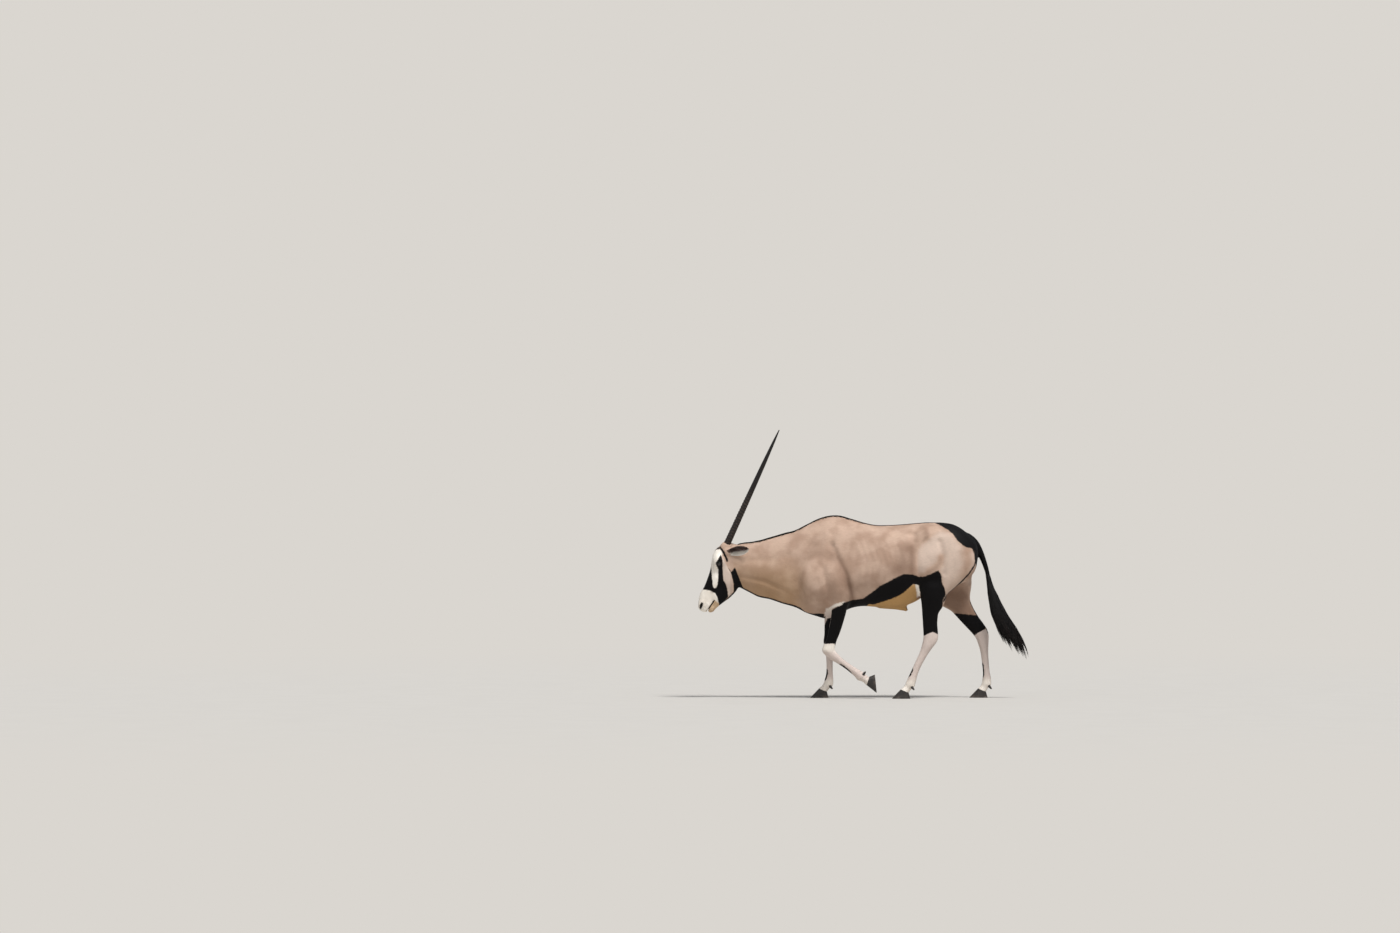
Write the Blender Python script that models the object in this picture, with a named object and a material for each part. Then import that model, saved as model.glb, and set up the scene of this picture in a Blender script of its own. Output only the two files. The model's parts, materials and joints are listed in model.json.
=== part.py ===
"""A life-size gemsbok bull walking with its head low, in metres.

+X points the way the animal walks, +Y to its left and +Z up, and its hooves stand on Z = 0.
The flesh is one blended field of distances, made of a trunk with sections across X, limbs with
sections along bent lines, and rounded muscles. Each node of flesh is meshed from that field and parted
from its neighbours by thin cuts. Hooves, horns, ears, eyes, mane and tail hair are built onto it.
"""

import math

import bmesh
import bpy
import numpy as np
from mathutils import Matrix, Vector

# Sizes that drive the rest, in metres
GAP = 0.0003
HEAD_TILT = math.radians(71.3)
POLL = (0.895, 0.0, 0.975)
EYE_RADIUS = 0.0200
EYE_DOWN, EYE_SIDE, EYE_OUT = 0.104, 0.0605, 0.004
HORN_BASE = (0.887, 0.034, 0.990)
HORN_TIP = (0.540, 0.140, 1.750)
HORN_RADIUS = 0.0225
HORN_RINGS = 16
HORN_RING_SHARE = 0.46
EAR_LENGTH = 0.155
EAR_WALL = 0.0045
MANE_FRONT, MANE_BACK = 0.800, 0.250
MANE_LOCK = 0.046
MANE_LOCKS = 32
TAIL_LOCKS = 22
FORE_TRACK = 0.105
HIND_TRACK = 0.115
HOOF_LENGTH = 0.121
HOOF_WIDTH = 0.034
CORONET_HEIGHT = 0.048
CORONET_SLOPE = math.radians(22)

# Mesh fineness, in metres between points of the field, and in triangles
COARSE, FINE, HEAD_FINE = 0.006, 0.004, 0.003
HEAD_FACES, NECK_FACES, TORSO_FACES, LEG_FACES, DOCK_FACES = 2300, 800, 1900, 1150, 180


def eased(stations, values, x):
    """Cubic curve through the values at rising stations, with slopes from their neighbours."""
    stations, values = np.asarray(stations, float), np.asarray(values, float)
    slope = np.gradient(values, stations, axis=0)
    i = np.clip(np.searchsorted(stations, x) - 1, 0, len(stations) - 2)
    width = stations[i + 1] - stations[i]
    t = np.clip((x - stations[i]) / width, 0.0, 1.0)
    if values.ndim > 1:
        t, width = t[..., None], width[..., None]
    between = (1 + 2 * t) * (1 - t) ** 2 * values[i] + t * t * (3 - 2 * t) * values[i + 1]
    return between + width * (t * (1 - t) ** 2 * slope[i] - t * t * (1 - t) * slope[i + 1])


def joined(a, b, blend):
    """Union of two distances, rounded where they are closer together than blend."""
    h = np.maximum(blend - np.abs(a - b), 0.0) / blend
    return np.minimum(a, b) - h * h * blend * 0.25


def carved(a, b, blend):
    """Distance a with the shape of distance b taken away, its rim rounded over blend."""
    return -joined(-a, b, blend)


class Frame:
    """The head's own frame: down the face, to its left, and out of the forehead."""

    def __init__(self, origin, tilt):
        self.origin = np.array(origin)
        self.axes = np.array([
            [math.cos(tilt), 0.0, -math.sin(tilt)],
            [0.0, 1.0, 0.0],
            [math.sin(tilt), 0.0, math.cos(tilt)],
        ])

    def inward(self, p):
        return (p - self.origin) @ self.axes.T

    def outward(self, p):
        return np.asarray(p) @ self.axes + self.origin


class Form:
    """One shape of the field. Its box of influence reaches past its own size by blend."""

    carve = False
    frame = None
    blend = 0.03

    def limits(self, low, high):
        """Keep the box from low to high, turned out of the form's frame if it has one."""
        if self.frame is not None:
            ends = np.array([low, high])
            corners = [(ends[i, 0], ends[j, 1], ends[k, 2]) for i in (0, 1) for j in (0, 1) for k in (0, 1)]
            world = self.frame.outward(corners)
            low, high = world.min(axis=0), world.max(axis=0)
        self.low, self.high = np.array(low), np.array(high)

    def placed(self, p):
        return p if self.frame is None else self.frame.inward(p)


class Trunk(Form):
    """Neck, chest, belly and loin: egg-shaped sections across X.

    Each row holds X, the back's height, the height of the widest level, the belly's height, half the
    width, and how square the section is above and below the widest level.
    """

    def __init__(self, rows, end=0.05):
        self.rows = np.array(rows, float)[::-1]
        self.end = end
        half = self.rows[:, 4].max()
        self.limits(
            (self.rows[0, 0] - end, -half, self.rows[:, 3].min()),
            (self.rows[-1, 0] + end, half, self.rows[:, 1].max()),
        )

    def distance(self, p):
        x = np.clip(p[:, 0], self.rows[0, 0], self.rows[-1, 0])
        top, wide, bottom, half, above, below = eased(self.rows[:, 0], self.rows[:, 1:], x).T
        up = p[:, 2] - wide
        reach = np.where(up > 0, top - wide, wide - bottom)
        square = np.where(up > 0, above, below)
        past = p[:, 0] - x
        scaled = np.abs(np.stack([past / self.end, p[:, 1] / half, up / reach], axis=1))
        ratio = np.maximum((scaled ** square[:, None]).sum(axis=1) ** (1.0 / square), 1e-6)
        length = np.sqrt(past ** 2 + p[:, 1] ** 2 + up ** 2)
        return length - length / ratio


class Limb(Form):
    """Rounded sections carried along a bent line.

    Each row holds the section's middle, its reach forward, backward and sideways. Forward is square
    to the line, and the way nearest to front.
    """

    def __init__(self, rows, blend, front=(1.0, 0.0, 0.0), power=2.0, steps=3, frame=None):
        rows = np.array(rows, float)
        fine = np.linspace(0, len(rows) - 1, (len(rows) - 1) * steps + 1)
        self.rows = eased(np.arange(len(rows)), rows, fine)
        self.blend, self.power, self.frame = blend, power, frame
        self.front = np.array(front)
        self.tangent = np.gradient(self.rows[:, :3], axis=0)
        self.tangent /= np.linalg.norm(self.tangent, axis=1)[:, None]
        reach = self.rows[:, 3:].max(axis=1)[:, None]
        self.limits((self.rows[:, :3] - reach).min(axis=0), (self.rows[:, :3] + reach).max(axis=0))

    def distance(self, p):
        p = self.placed(p)
        nearest = np.full(len(p), np.inf)
        place = np.zeros(len(p))
        for i in range(len(self.rows) - 1):
            start = self.rows[i, :3]
            step = self.rows[i + 1, :3] - start
            t = np.clip((p - start) @ step / (step @ step), 0.0, 1.0)
            away = ((p - start - t[:, None] * step) ** 2).sum(axis=1)
            closer = away < nearest
            nearest[closer] = away[closer]
            place[closer] = i + t[closer]
        i = np.minimum(place.astype(int), len(self.rows) - 2)
        t = (place - i)[:, None]
        row = self.rows[i] * (1 - t) + self.rows[i + 1] * t
        along = self.tangent[i] * (1 - t) + self.tangent[i + 1] * t
        along /= np.linalg.norm(along, axis=1)[:, None]
        side = np.cross(along, self.front)
        side /= np.linalg.norm(side, axis=1)[:, None]
        ahead = np.cross(side, along)
        offset = p - row[:, :3]
        u, v, w = ((offset * axis).sum(axis=1) for axis in (ahead, side, along))
        reach = np.where(u > 0, row[:, 3], row[:, 4])
        end = row[:, 3:].min(axis=1)
        scaled = np.abs(np.stack([u / reach, v / row[:, 5], w / end], axis=1))
        ratio = np.maximum((scaled ** self.power).sum(axis=1) ** (1.0 / self.power), 1e-6)
        length = np.linalg.norm(offset, axis=1)
        return length - length / ratio


class Muscle(Form):
    """An ellipsoid: its middle, half sizes, and a tilt in degrees that lifts its +X end."""

    def __init__(self, middle, sizes, tilt=0.0, blend=0.04, frame=None, carve=False):
        self.middle, self.sizes = np.array(middle), np.array(sizes)
        self.blend, self.frame, self.carve = blend, frame, carve
        c, s = math.cos(math.radians(tilt)), math.sin(math.radians(tilt))
        self.axes = np.array([[c, 0.0, s], [0.0, 1.0, 0.0], [-s, 0.0, c]])
        self.limits(self.middle - self.sizes.max(), self.middle + self.sizes.max())

    def distance(self, p):
        local = (self.placed(p) - self.middle) @ self.axes.T
        ratio = np.maximum(np.linalg.norm(local / self.sizes, axis=1), 1e-6)
        length = np.linalg.norm(local, axis=1)
        return length - length / ratio


class Lips(Form):
    """The slit between the lips: a thin curved sheet that reaches a little way in from the skin."""

    line = ((0.338, -0.043), (0.372, -0.034), (0.405, -0.026), (0.440, -0.020))
    half, depth, blend = 0.0024, 0.0060, 0.003

    def __init__(self, frame):
        self.frame = frame
        self.limits((0.32, -0.05, -0.07), (0.45, 0.05, 0.01))

    def apply(self, field, p):
        local = self.placed(p)
        line = np.array(self.line)
        level = eased(line[:, 0], line[:, 1], np.clip(local[:, 0], line[0, 0], line[-1, 0]))
        slit = np.maximum(np.abs(local[:, 2] - level) - self.half, line[0, 0] - local[:, 0])
        return carved(field, np.maximum(slit, -(field + self.depth)), self.blend)


HEAD = Frame(POLL, HEAD_TILT)


TRUNK = Trunk([
    (0.900, 0.975, 0.890, 0.800, 0.046, 2.0, 2.0),
    (0.850, 0.992, 0.880, 0.748, 0.060, 2.0, 2.0),
    (0.790, 1.004, 0.870, 0.716, 0.069, 2.0, 1.9),
    (0.730, 1.008, 0.855, 0.685, 0.075, 2.0, 1.8),
    (0.680, 1.014, 0.840, 0.660, 0.079, 1.9, 1.8),
    (0.600, 1.034, 0.828, 0.642, 0.087, 1.9, 1.8),
    (0.520, 1.056, 0.820, 0.615, 0.098, 1.8, 1.8),
    (0.440, 1.080, 0.810, 0.592, 0.114, 1.7, 1.8),
    (0.370, 1.116, 0.805, 0.562, 0.130, 1.6, 1.8),
    (0.300, 1.152, 0.800, 0.534, 0.146, 1.5, 1.8),
    (0.230, 1.176, 0.800, 0.518, 0.158, 1.45, 1.8),
    (0.160, 1.184, 0.800, 0.540, 0.168, 1.45, 1.9),
    (0.080, 1.168, 0.800, 0.582, 0.182, 1.55, 2.0),
    (0.000, 1.146, 0.805, 0.598, 0.198, 1.75, 2.1),
    (-0.080, 1.129, 0.810, 0.594, 0.211, 1.95, 2.2),
    (-0.170, 1.127, 0.820, 0.588, 0.218, 2.05, 2.2),
    (-0.260, 1.132, 0.830, 0.596, 0.214, 2.1, 2.2),
    (-0.350, 1.140, 0.860, 0.630, 0.196, 2.1, 2.1),
    (-0.440, 1.146, 0.905, 0.690, 0.172, 2.1, 2.1),
    (-0.530, 1.145, 0.940, 0.730, 0.155, 2.0, 2.0),
    (-0.600, 1.131, 0.950, 0.755, 0.140, 2.0, 2.0),
    (-0.660, 1.096, 0.950, 0.775, 0.118, 2.0, 2.0),
    (-0.705, 1.056, 0.940, 0.800, 0.090, 2.0, 2.0),
])


def shoulder_forms():
    forms = []
    for side in (1, -1):
        forms += [
            Muscle((0.220, side * 0.072, 0.930), (0.190, 0.052, 0.090), tilt=-66, blend=0.07),
            Muscle((0.286, side * 0.118, 0.772), (0.116, 0.060, 0.140), tilt=12, blend=0.030),
            Muscle((0.190, side * 0.126, 0.775), (0.130, 0.060, 0.115), tilt=-24, blend=0.030),
            Muscle((0.135, side * 0.118, 0.680), (0.070, 0.045, 0.060), tilt=-15, blend=0.04),
            Muscle((0.330, side * 0.055, 0.640), (0.080, 0.060, 0.085), tilt=20, blend=0.05),
        ]
    return forms


def haunch_forms():
    forms = []
    for side in (1, -1):
        forms += [
            Muscle((-0.415, side * 0.100, 1.052), (0.050, 0.046, 0.060), tilt=50, blend=0.06),
            Muscle((-0.545, side * 0.076, 0.985), (0.180, 0.094, 0.120), tilt=10, blend=0.07),
            Muscle((-0.645, side * 0.088, 0.885), (0.096, 0.078, 0.135), tilt=8, blend=0.05),
        ]
    return forms + [
        Muscle((-0.490, 0.115, 0.880), (0.150, 0.078, 0.155), tilt=-30),
        Muscle((-0.400, 0.128, 0.850), (0.062, 0.058, 0.100), tilt=-10, blend=0.035),
        Muscle((-0.560, 0.115, 0.780), (0.085, 0.062, 0.125), tilt=-38, blend=0.035),
        Muscle((-0.465, 0.118, 0.700), (0.078, 0.052, 0.130), tilt=-8, blend=0.035),
        Muscle((-0.510, -0.115, 0.880), (0.150, 0.078, 0.150), tilt=-20),
        Muscle((-0.470, -0.128, 0.830), (0.070, 0.058, 0.090), tilt=30, blend=0.035),
        Muscle((-0.625, -0.112, 0.790), (0.090, 0.062, 0.130), tilt=-15, blend=0.035),
        Muscle((-0.590, -0.118, 0.700), (0.110, 0.052, 0.120), tilt=40, blend=0.035),
    ]


def turned(angle, x, z):
    """X and Z turned by an angle that tips +X downward."""
    return (x * math.cos(angle) + z * math.sin(angle), -x * math.sin(angle) + z * math.cos(angle))


class Foot:
    """Where a foot is: the middle of its fetlock, which side it is on, and how far it is tipped forward."""

    reach = (0.036, -0.047)

    def __init__(self, fetlock, track, pitch=0.0, reach=None):
        self.fetlock, self.track, self.pitch = fetlock, track, math.radians(pitch)
        ahead, down = turned(self.pitch, *(reach or self.reach))
        self.coronet = (fetlock[0] + ahead, fetlock[1] + down)

    def at(self, x, y, z):
        """A point given in the standing foot's frame, whose origin is the middle of the coronet."""
        ahead, up = turned(self.pitch, x, z)
        return (self.coronet[0] + ahead, self.track + y, self.coronet[1] + up)

    def rows(self):
        """Sections from the fetlock down to the coronet."""
        middle = lambda t: tuple(a + (b - a) * t for a, b in zip(self.fetlock, self.coronet))
        (fx, fz), (mx, mz), (cx, cz) = middle(0.0), middle(0.55), middle(1.12)
        return [
            (fx, self.track, fz, 0.0275, 0.0305, 0.0265),
            (mx, self.track, mz, 0.0235, 0.0265, 0.0255),
            (cx, self.track, cz, 0.0290, 0.0285, 0.0310),
        ]


FEET = {
    "fore_left": Foot((0.014, 0.145), FORE_TRACK, pitch=96.0),
    "fore_right": Foot((0.218, 0.095), -FORE_TRACK),
    "hind_left": Foot((-0.310, 0.095), HIND_TRACK),
    "hind_right": Foot((-0.815, 0.096), -HIND_TRACK, reach=(0.030, -0.048)),
}


def leg_forms():
    fore, hind = FORE_TRACK, HIND_TRACK
    fore_left_arm = [
        (0.165, fore + 0.010, 0.690, 0.070, 0.070, 0.046),
        (0.152, fore + 0.008, 0.600, 0.052, 0.054, 0.040),
        (0.164, fore + 0.004, 0.520, 0.044, 0.046, 0.034),
        (0.184, fore, 0.440, 0.038, 0.040, 0.029),
        (0.200, fore, 0.385, 0.034, 0.034, 0.027),
        (0.214, fore, 0.340, 0.040, 0.036, 0.030),
        (0.220, fore, 0.315, 0.042, 0.036, 0.030),
    ]
    fore_left_cannon = [
        (0.226, fore, 0.316, 0.034, 0.034, 0.029),
        (0.196, fore, 0.283, 0.034, 0.034, 0.027),
        (0.158, fore, 0.253, 0.024, 0.025, 0.021),
        (0.105, fore, 0.215, 0.021, 0.022, 0.019),
        (0.060, fore, 0.182, 0.023, 0.025, 0.021),
        (0.030, fore, 0.160, 0.027, 0.029, 0.025),
        (0.014, fore, 0.145, 0.028, 0.029, 0.026),
    ]
    fore_right = [
        (0.200, -fore - 0.010, 0.690, 0.062, 0.076, 0.046),
        (0.196, -fore - 0.008, 0.600, 0.048, 0.060, 0.040),
        (0.202, -fore - 0.004, 0.520, 0.043, 0.048, 0.034),
        (0.208, -fore, 0.450, 0.037, 0.040, 0.029),
        (0.212, -fore, 0.405, 0.034, 0.034, 0.028),
        (0.214, -fore, 0.365, 0.037, 0.035, 0.031),
        (0.213, -fore, 0.325, 0.031, 0.033, 0.028),
        (0.212, -fore, 0.270, 0.022, 0.024, 0.021),
        (0.211, -fore, 0.200, 0.020, 0.022, 0.019),
        (0.212, -fore, 0.150, 0.022, 0.024, 0.021),
        (0.215, -fore, 0.118, 0.027, 0.030, 0.026),
        (0.218, -fore, 0.095, 0.0275, 0.0305, 0.0265),
    ]
    hind_left = [
        (-0.445, hind + 0.006, 0.720, 0.070, 0.086, 0.050),
        (-0.442, hind + 0.004, 0.640, 0.062, 0.066, 0.042),
        (-0.440, hind, 0.560, 0.054, 0.055, 0.036),
        (-0.440, hind, 0.490, 0.049, 0.048, 0.031),
        (-0.442, hind, 0.430, 0.047, 0.050, 0.030),
        (-0.438, hind, 0.392, 0.043, 0.052, 0.031),
        (-0.420, hind, 0.345, 0.034, 0.038, 0.029),
        (-0.397, hind, 0.295, 0.026, 0.028, 0.023),
        (-0.365, hind, 0.232, 0.023, 0.025, 0.021),
        (-0.338, hind, 0.172, 0.023, 0.025, 0.022),
        (-0.320, hind, 0.122, 0.028, 0.030, 0.026),
        (-0.310, hind, 0.095, 0.0275, 0.0305, 0.0265),
    ]
    hind_right = [
        (-0.570, -hind - 0.006, 0.740, 0.110, 0.120, 0.054),
        (-0.610, -hind - 0.004, 0.660, 0.084, 0.095, 0.044),
        (-0.660, -hind, 0.580, 0.066, 0.068, 0.037),
        (-0.712, -hind, 0.510, 0.056, 0.054, 0.032),
        (-0.756, -hind, 0.452, 0.048, 0.052, 0.030),
        (-0.780, -hind, 0.410, 0.042, 0.050, 0.031),
        (-0.792, -hind, 0.360, 0.034, 0.038, 0.029),
        (-0.800, -hind, 0.300, 0.025, 0.027, 0.023),
        (-0.807, -hind, 0.225, 0.022, 0.024, 0.021),
        (-0.813, -hind, 0.165, 0.022, 0.024, 0.022),
        (-0.816, -hind, 0.122, 0.028, 0.030, 0.026),
        (-0.815, -hind, 0.096, 0.0275, 0.0305, 0.0265),
    ]
    forms = [Limb(fore_left_arm, 0.035), Limb(fore_left_cannon, 0.012)]
    forms += [Limb(rows, 0.035) for rows in (fore_right, hind_left, hind_right)]
    return forms + [Limb(foot.rows(), 0.010) for foot in FEET.values()]


def head_forms():
    out = (0.0, 0.0, 1.0)
    face = [
        (-0.015, 0.0, -0.012, 0.034, 0.060, 0.050),
        (0.040, 0.0, -0.004, 0.062, 0.078, 0.064),
        (0.100, 0.0, -0.004, 0.060, 0.076, 0.066),
        (0.160, 0.0, -0.004, 0.050, 0.070, 0.056),
        (0.220, 0.0, -0.002, 0.047, 0.064, 0.047),
        (0.280, 0.0, 0.000, 0.048, 0.056, 0.041),
        (0.330, 0.0, 0.002, 0.056, 0.046, 0.042),
        (0.375, 0.0, 0.004, 0.050, 0.038, 0.044),
        (0.405, 0.0, 0.004, 0.036, 0.030, 0.038),
    ]
    jaw = [
        (0.150, 0.0, -0.095, 0.050, 0.056, 0.050),
        (0.210, 0.0, -0.100, 0.050, 0.066, 0.048),
        (0.265, 0.0, -0.092, 0.040, 0.052, 0.040),
        (0.320, 0.0, -0.072, 0.034, 0.036, 0.032),
        (0.370, 0.0, -0.054, 0.024, 0.024, 0.030),
        (0.400, 0.0, -0.046, 0.018, 0.018, 0.027),
    ]
    forms = [
        Limb(face, 0.04, front=out, power=2.3, frame=HEAD),
        Limb(jaw, 0.018, front=out, power=2.2, frame=HEAD),
    ]
    eye = (EYE_DOWN, EYE_SIDE, EYE_OUT)
    for side in (1, -1):
        mirrored = lambda x, y, z: (x, side * y, z)
        forms += [
            Muscle(mirrored(0.160, 0.030, -0.070), (0.085, 0.036, 0.062), 0, 0.03, HEAD),
            Muscle(mirrored(0.092, 0.060, 0.012), (0.038, 0.021, 0.030), 0, 0.025, HEAD),
            Muscle(mirrored(0.195, 0.040, -0.016), (0.090, 0.014, 0.018), 4, 0.03, HEAD),
            Muscle(mirrored(0.285, 0.020, -0.058), (0.075, 0.022, 0.030), 10, 0.03, HEAD),
            Muscle(mirrored(0.392, 0.022, 0.026), (0.032, 0.019, 0.021), 0, 0.016, HEAD),
            Muscle(mirrored(0.385, 0.022, -0.012), (0.040, 0.020, 0.020), 0, 0.018, HEAD),
            Muscle(mirrored(-0.012, 0.034, 0.000), (0.032, 0.028, 0.032), 0, 0.02, HEAD),
            Muscle(mirrored(0.018, 0.056, -0.022), (0.024, 0.020, 0.026), 0, 0.02, HEAD),
            Muscle(mirrored(*eye), (EYE_RADIUS + 0.0040,) * 3, 0, 0.008, HEAD),
            Muscle(mirrored(0.401, 0.035, 0.027), (0.024, 0.012, 0.0085), 10, 0.004, HEAD, True),
            Muscle(mirrored(EYE_DOWN, EYE_SIDE + 0.021, EYE_OUT), (0.0195, 0.014, 0.0125), 15, 0.003,
                   HEAD, True),
        ]
    return forms + [Muscle((0.395, 0.0, -0.040), (0.030, 0.026, 0.017), 0, 0.012, HEAD), Lips(HEAD)]


def belly_forms():
    sheath = [
        (-0.120, 0.0, 0.606, 0.016, 0.014, 0.018),
        (-0.200, 0.0, 0.600, 0.020, 0.017, 0.022),
        (-0.262, 0.0, 0.590, 0.022, 0.020, 0.022),
        (-0.284, 0.0, 0.578, 0.013, 0.013, 0.013),
    ]
    return [Limb(sheath, 0.03, front=(0.0, 0.0, 1.0))]


DOCK = (
    (-0.690, 0.0, 1.050, 0.040, 0.036, 0.034),
    (-0.740, 0.0, 1.020, 0.032, 0.030, 0.030),
    (-0.776, 0.0, 0.960, 0.024, 0.024, 0.025),
    (-0.800, 0.0, 0.890, 0.019, 0.019, 0.021),
    (-0.818, 0.0, 0.820, 0.0155, 0.0155, 0.017),
    (-0.828, 0.0, 0.760, 0.0135, 0.0135, 0.014),
    (-0.834, 0.0, 0.720, 0.010, 0.010, 0.010),
)
FORMS = (
    [TRUNK] + shoulder_forms() + haunch_forms() + leg_forms() + belly_forms()
    + [Limb(DOCK, 0.02, front=(-1.0, 0.0, 0.0))] + head_forms()
)


def body(p):
    """Distance from each point to the skin, negative inside."""
    field = np.full(len(p), 0.5)
    for form in FORMS:
        margin = form.blend + 0.06
        near = ((p > form.low - margin) & (p < form.high + margin)).all(axis=1)
        if not near.any():
            continue
        if isinstance(form, Lips):
            field[near] = form.apply(field[near], p[near])
        else:
            mix = carved if form.carve else joined
            field[near] = mix(field[near], form.distance(p[near]), form.blend)
    return field


def sampled(field, low, cells, step, block=4):
    """The field on a grid, worked out finely only in blocks near its zero level."""
    wide = step * block
    coarse = cells // block
    axes = [low[i] + wide * np.arange(coarse[i] + 1) for i in range(3)]
    grid = np.stack(np.meshgrid(*axes, indexing="ij"), axis=-1).reshape(-1, 3)
    rough = field(grid).reshape(coarse + 1)
    values = rough[:-1, :-1, :-1]
    for axis in range(3):
        values = np.repeat(values, block, axis=axis)
    near = np.zeros(coarse, bool)
    for i in (0, 1):
        for j in (0, 1):
            for k in (0, 1):
                corner = rough[i:coarse[0] + i, j:coarse[1] + j, k:coarse[2] + k]
                near |= np.abs(corner) < wide * 2.4
    inner = np.stack(np.meshgrid(*[np.arange(block)] * 3, indexing="ij"), axis=-1).reshape(-1, 3)
    index = (np.argwhere(near)[:, None] * block + inner).reshape(-1, 3)
    values[tuple(index.T)] = field(low + step * index)
    for axis in range(3):
        side = np.moveaxis(values, axis, 0)
        side[0] = np.maximum(side[0], step * 0.5)
        side[-1] = np.maximum(side[-1], step * 0.5)
    return values


def unpinched(values, step):
    """The grid with single corners filled in wherever its surface would touch itself along an edge."""
    def part(axis, u, v):
        cut = [slice(None)] * 3
        cut[(axis + 1) % 3] = slice(u, values.shape[(axis + 1) % 3] - 1 + u)
        cut[(axis + 2) % 3] = slice(v, values.shape[(axis + 2) % 3] - 1 + v)
        return tuple(cut)

    found = True
    while found:
        found = False
        for axis in range(3):
            for flip in (0, 1):
                inside = values < 0
                a, b = inside[part(axis, 0, flip)], inside[part(axis, 1, 1 - flip)]
                c, d = inside[part(axis, 1, flip)], inside[part(axis, 0, 1 - flip)]
                pinched = a & b & ~c & ~d
                values[part(axis, 1, flip)][pinched] = -0.05 * step
                found |= pinched.any()
    return values


def surface(field, low, high, step):
    """Points and four-sided faces of a field's zero level inside a box: one point in each crossed cell."""
    low = np.array(low, float)
    cells = 4 * np.ceil((np.array(high) - low) / step / 4).astype(int)
    values = unpinched(sampled(field, low, cells, step), step)
    inside = values < 0
    corners = [(i, j, k) for i in (0, 1) for j in (0, 1) for k in (0, 1)]
    filled = sum(
        inside[i:cells[0] - 1 + i, j:cells[1] - 1 + j, k:cells[2] - 1 + k].astype(np.int8)
        for i, j, k in corners
    )
    crossed = (filled > 0) & (filled < 8)
    where = np.argwhere(crossed)
    number = np.full(crossed.shape, -1)
    number[crossed] = np.arange(len(where))
    total, hits = np.zeros((len(where), 3)), np.zeros(len(where))
    for a in corners:
        for axis in range(3):
            if a[axis]:
                continue
            b = tuple(a[i] + (i == axis) for i in range(3))
            start, end = values[tuple((where + a).T)], values[tuple((where + b).T)]
            cross = (start < 0) != (end < 0)
            t = start[cross] / (start[cross] - end[cross])
            total[cross] += np.array(a) + t[:, None] * (np.array(b) - a)
            hits[cross] += 1
    points = low + step * (where + total / hits[:, None])
    faces = []
    for axis in range(3):
        u, v = (axis + 1) % 3, (axis + 2) % 3
        here = [slice(1, -1)] * 3
        here[axis] = slice(0, -1)
        after = list(here)
        after[axis] = slice(1, None)
        first, second = inside[tuple(here)], inside[tuple(after)]
        for leaving in (True, False):
            change = first & ~second if leaving else ~first & second
            at = np.argwhere(change) + [int(i != axis) for i in range(3)]
            ring = []
            for du, dv in ((-1, -1), (0, -1), (0, 0), (-1, 0)):
                cell = at.copy()
                cell[:, u] += du
                cell[:, v] += dv
                ring.append(number[tuple(cell.T)])
            faces.append(np.stack(ring if leaving else ring[::-1], axis=1))
    return settled(field, points, step), np.concatenate(faces)


def settled(field, points, step):
    """The points moved along the field's slope onto its zero level, by a third of a step at most."""
    small = step * 0.15
    value = field(points)
    slope = np.stack([(field(points + small * e) - value) / small for e in np.eye(3)], axis=1)
    size = np.maximum((slope ** 2).sum(axis=1), 0.05)
    move = -value[:, None] * slope / size[:, None]
    length = np.maximum(np.linalg.norm(move, axis=1), 1e-9)
    return points + move * np.minimum(1.0, step * 0.33 / length)[:, None]


def mesh_object(name, points, faces, material=None):
    """A new object of these points and faces, in triangles that face outward."""
    mesh = bpy.data.meshes.new(name)
    mesh.from_pydata(np.asarray(points).tolist(), [], [tuple(map(int, face)) for face in faces])
    shape = bmesh.new()
    shape.from_mesh(mesh)
    bmesh.ops.triangulate(shape, faces=shape.faces)
    bmesh.ops.recalc_face_normals(shape, faces=shape.faces)
    shape.to_mesh(mesh)
    shape.free()
    obj = bpy.data.objects.new(name, mesh)
    bpy.context.scene.collection.objects.link(obj)
    if material:
        mesh.materials.append(MATERIALS[material])
    return obj


def principled(name, colour, roughness):
    made = bpy.data.materials.new(name)
    made.use_nodes = True
    shader = made.node_tree.nodes["Principled BSDF"]
    shader.inputs["Base Color"].default_value = (*colour, 1.0)
    shader.inputs["Roughness"].default_value = roughness
    shader.inputs["Metallic"].default_value = 0.0
    return made


def settle(obj):
    """Apply the object's modifiers to its mesh."""
    graph = bpy.context.evaluated_depsgraph_get()
    mesh = bpy.data.meshes.new_from_object(obj.evaluated_get(graph), depsgraph=graph)
    obj.modifiers.clear()
    old, obj.data = obj.data, mesh
    bpy.data.meshes.remove(old)
    return obj


def reduced(obj, triangles):
    """The object with fewer triangles, most of them where its surface bends."""
    obj.data.calc_loop_triangles()
    modifier = obj.modifiers.new("fewer", "DECIMATE")
    modifier.ratio = min(1.0, triangles / len(obj.data.loop_triangles))
    return settle(obj)


def combined(obj, others, operation, score=None):
    """Join other closed objects to this one, or cut them from it, and remove them.

    The solver is MANIFOLD, because EXACT loses the head when the plane of the neck cuts it.
    """
    group = bpy.data.collections.new("tools")
    bpy.context.scene.collection.children.link(group)
    for other in others:
        for holder in list(other.users_collection):
            holder.objects.unlink(other)
        group.objects.link(other)
    modifier = obj.modifiers.new("combine", "BOOLEAN")
    modifier.operation = operation
    modifier.solver = "MANIFOLD"
    modifier.operand_type = "COLLECTION"
    modifier.collection = group
    settle(obj)
    for other in others:
        bpy.data.objects.remove(other)
    bpy.data.collections.remove(group)
    return one_surface(obj, score or area)


def area(faces):
    return sum(face.calc_area() for face in faces)


def depth(faces):
    return -min(vertex.co.z for face in faces for vertex in face.verts)


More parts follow.
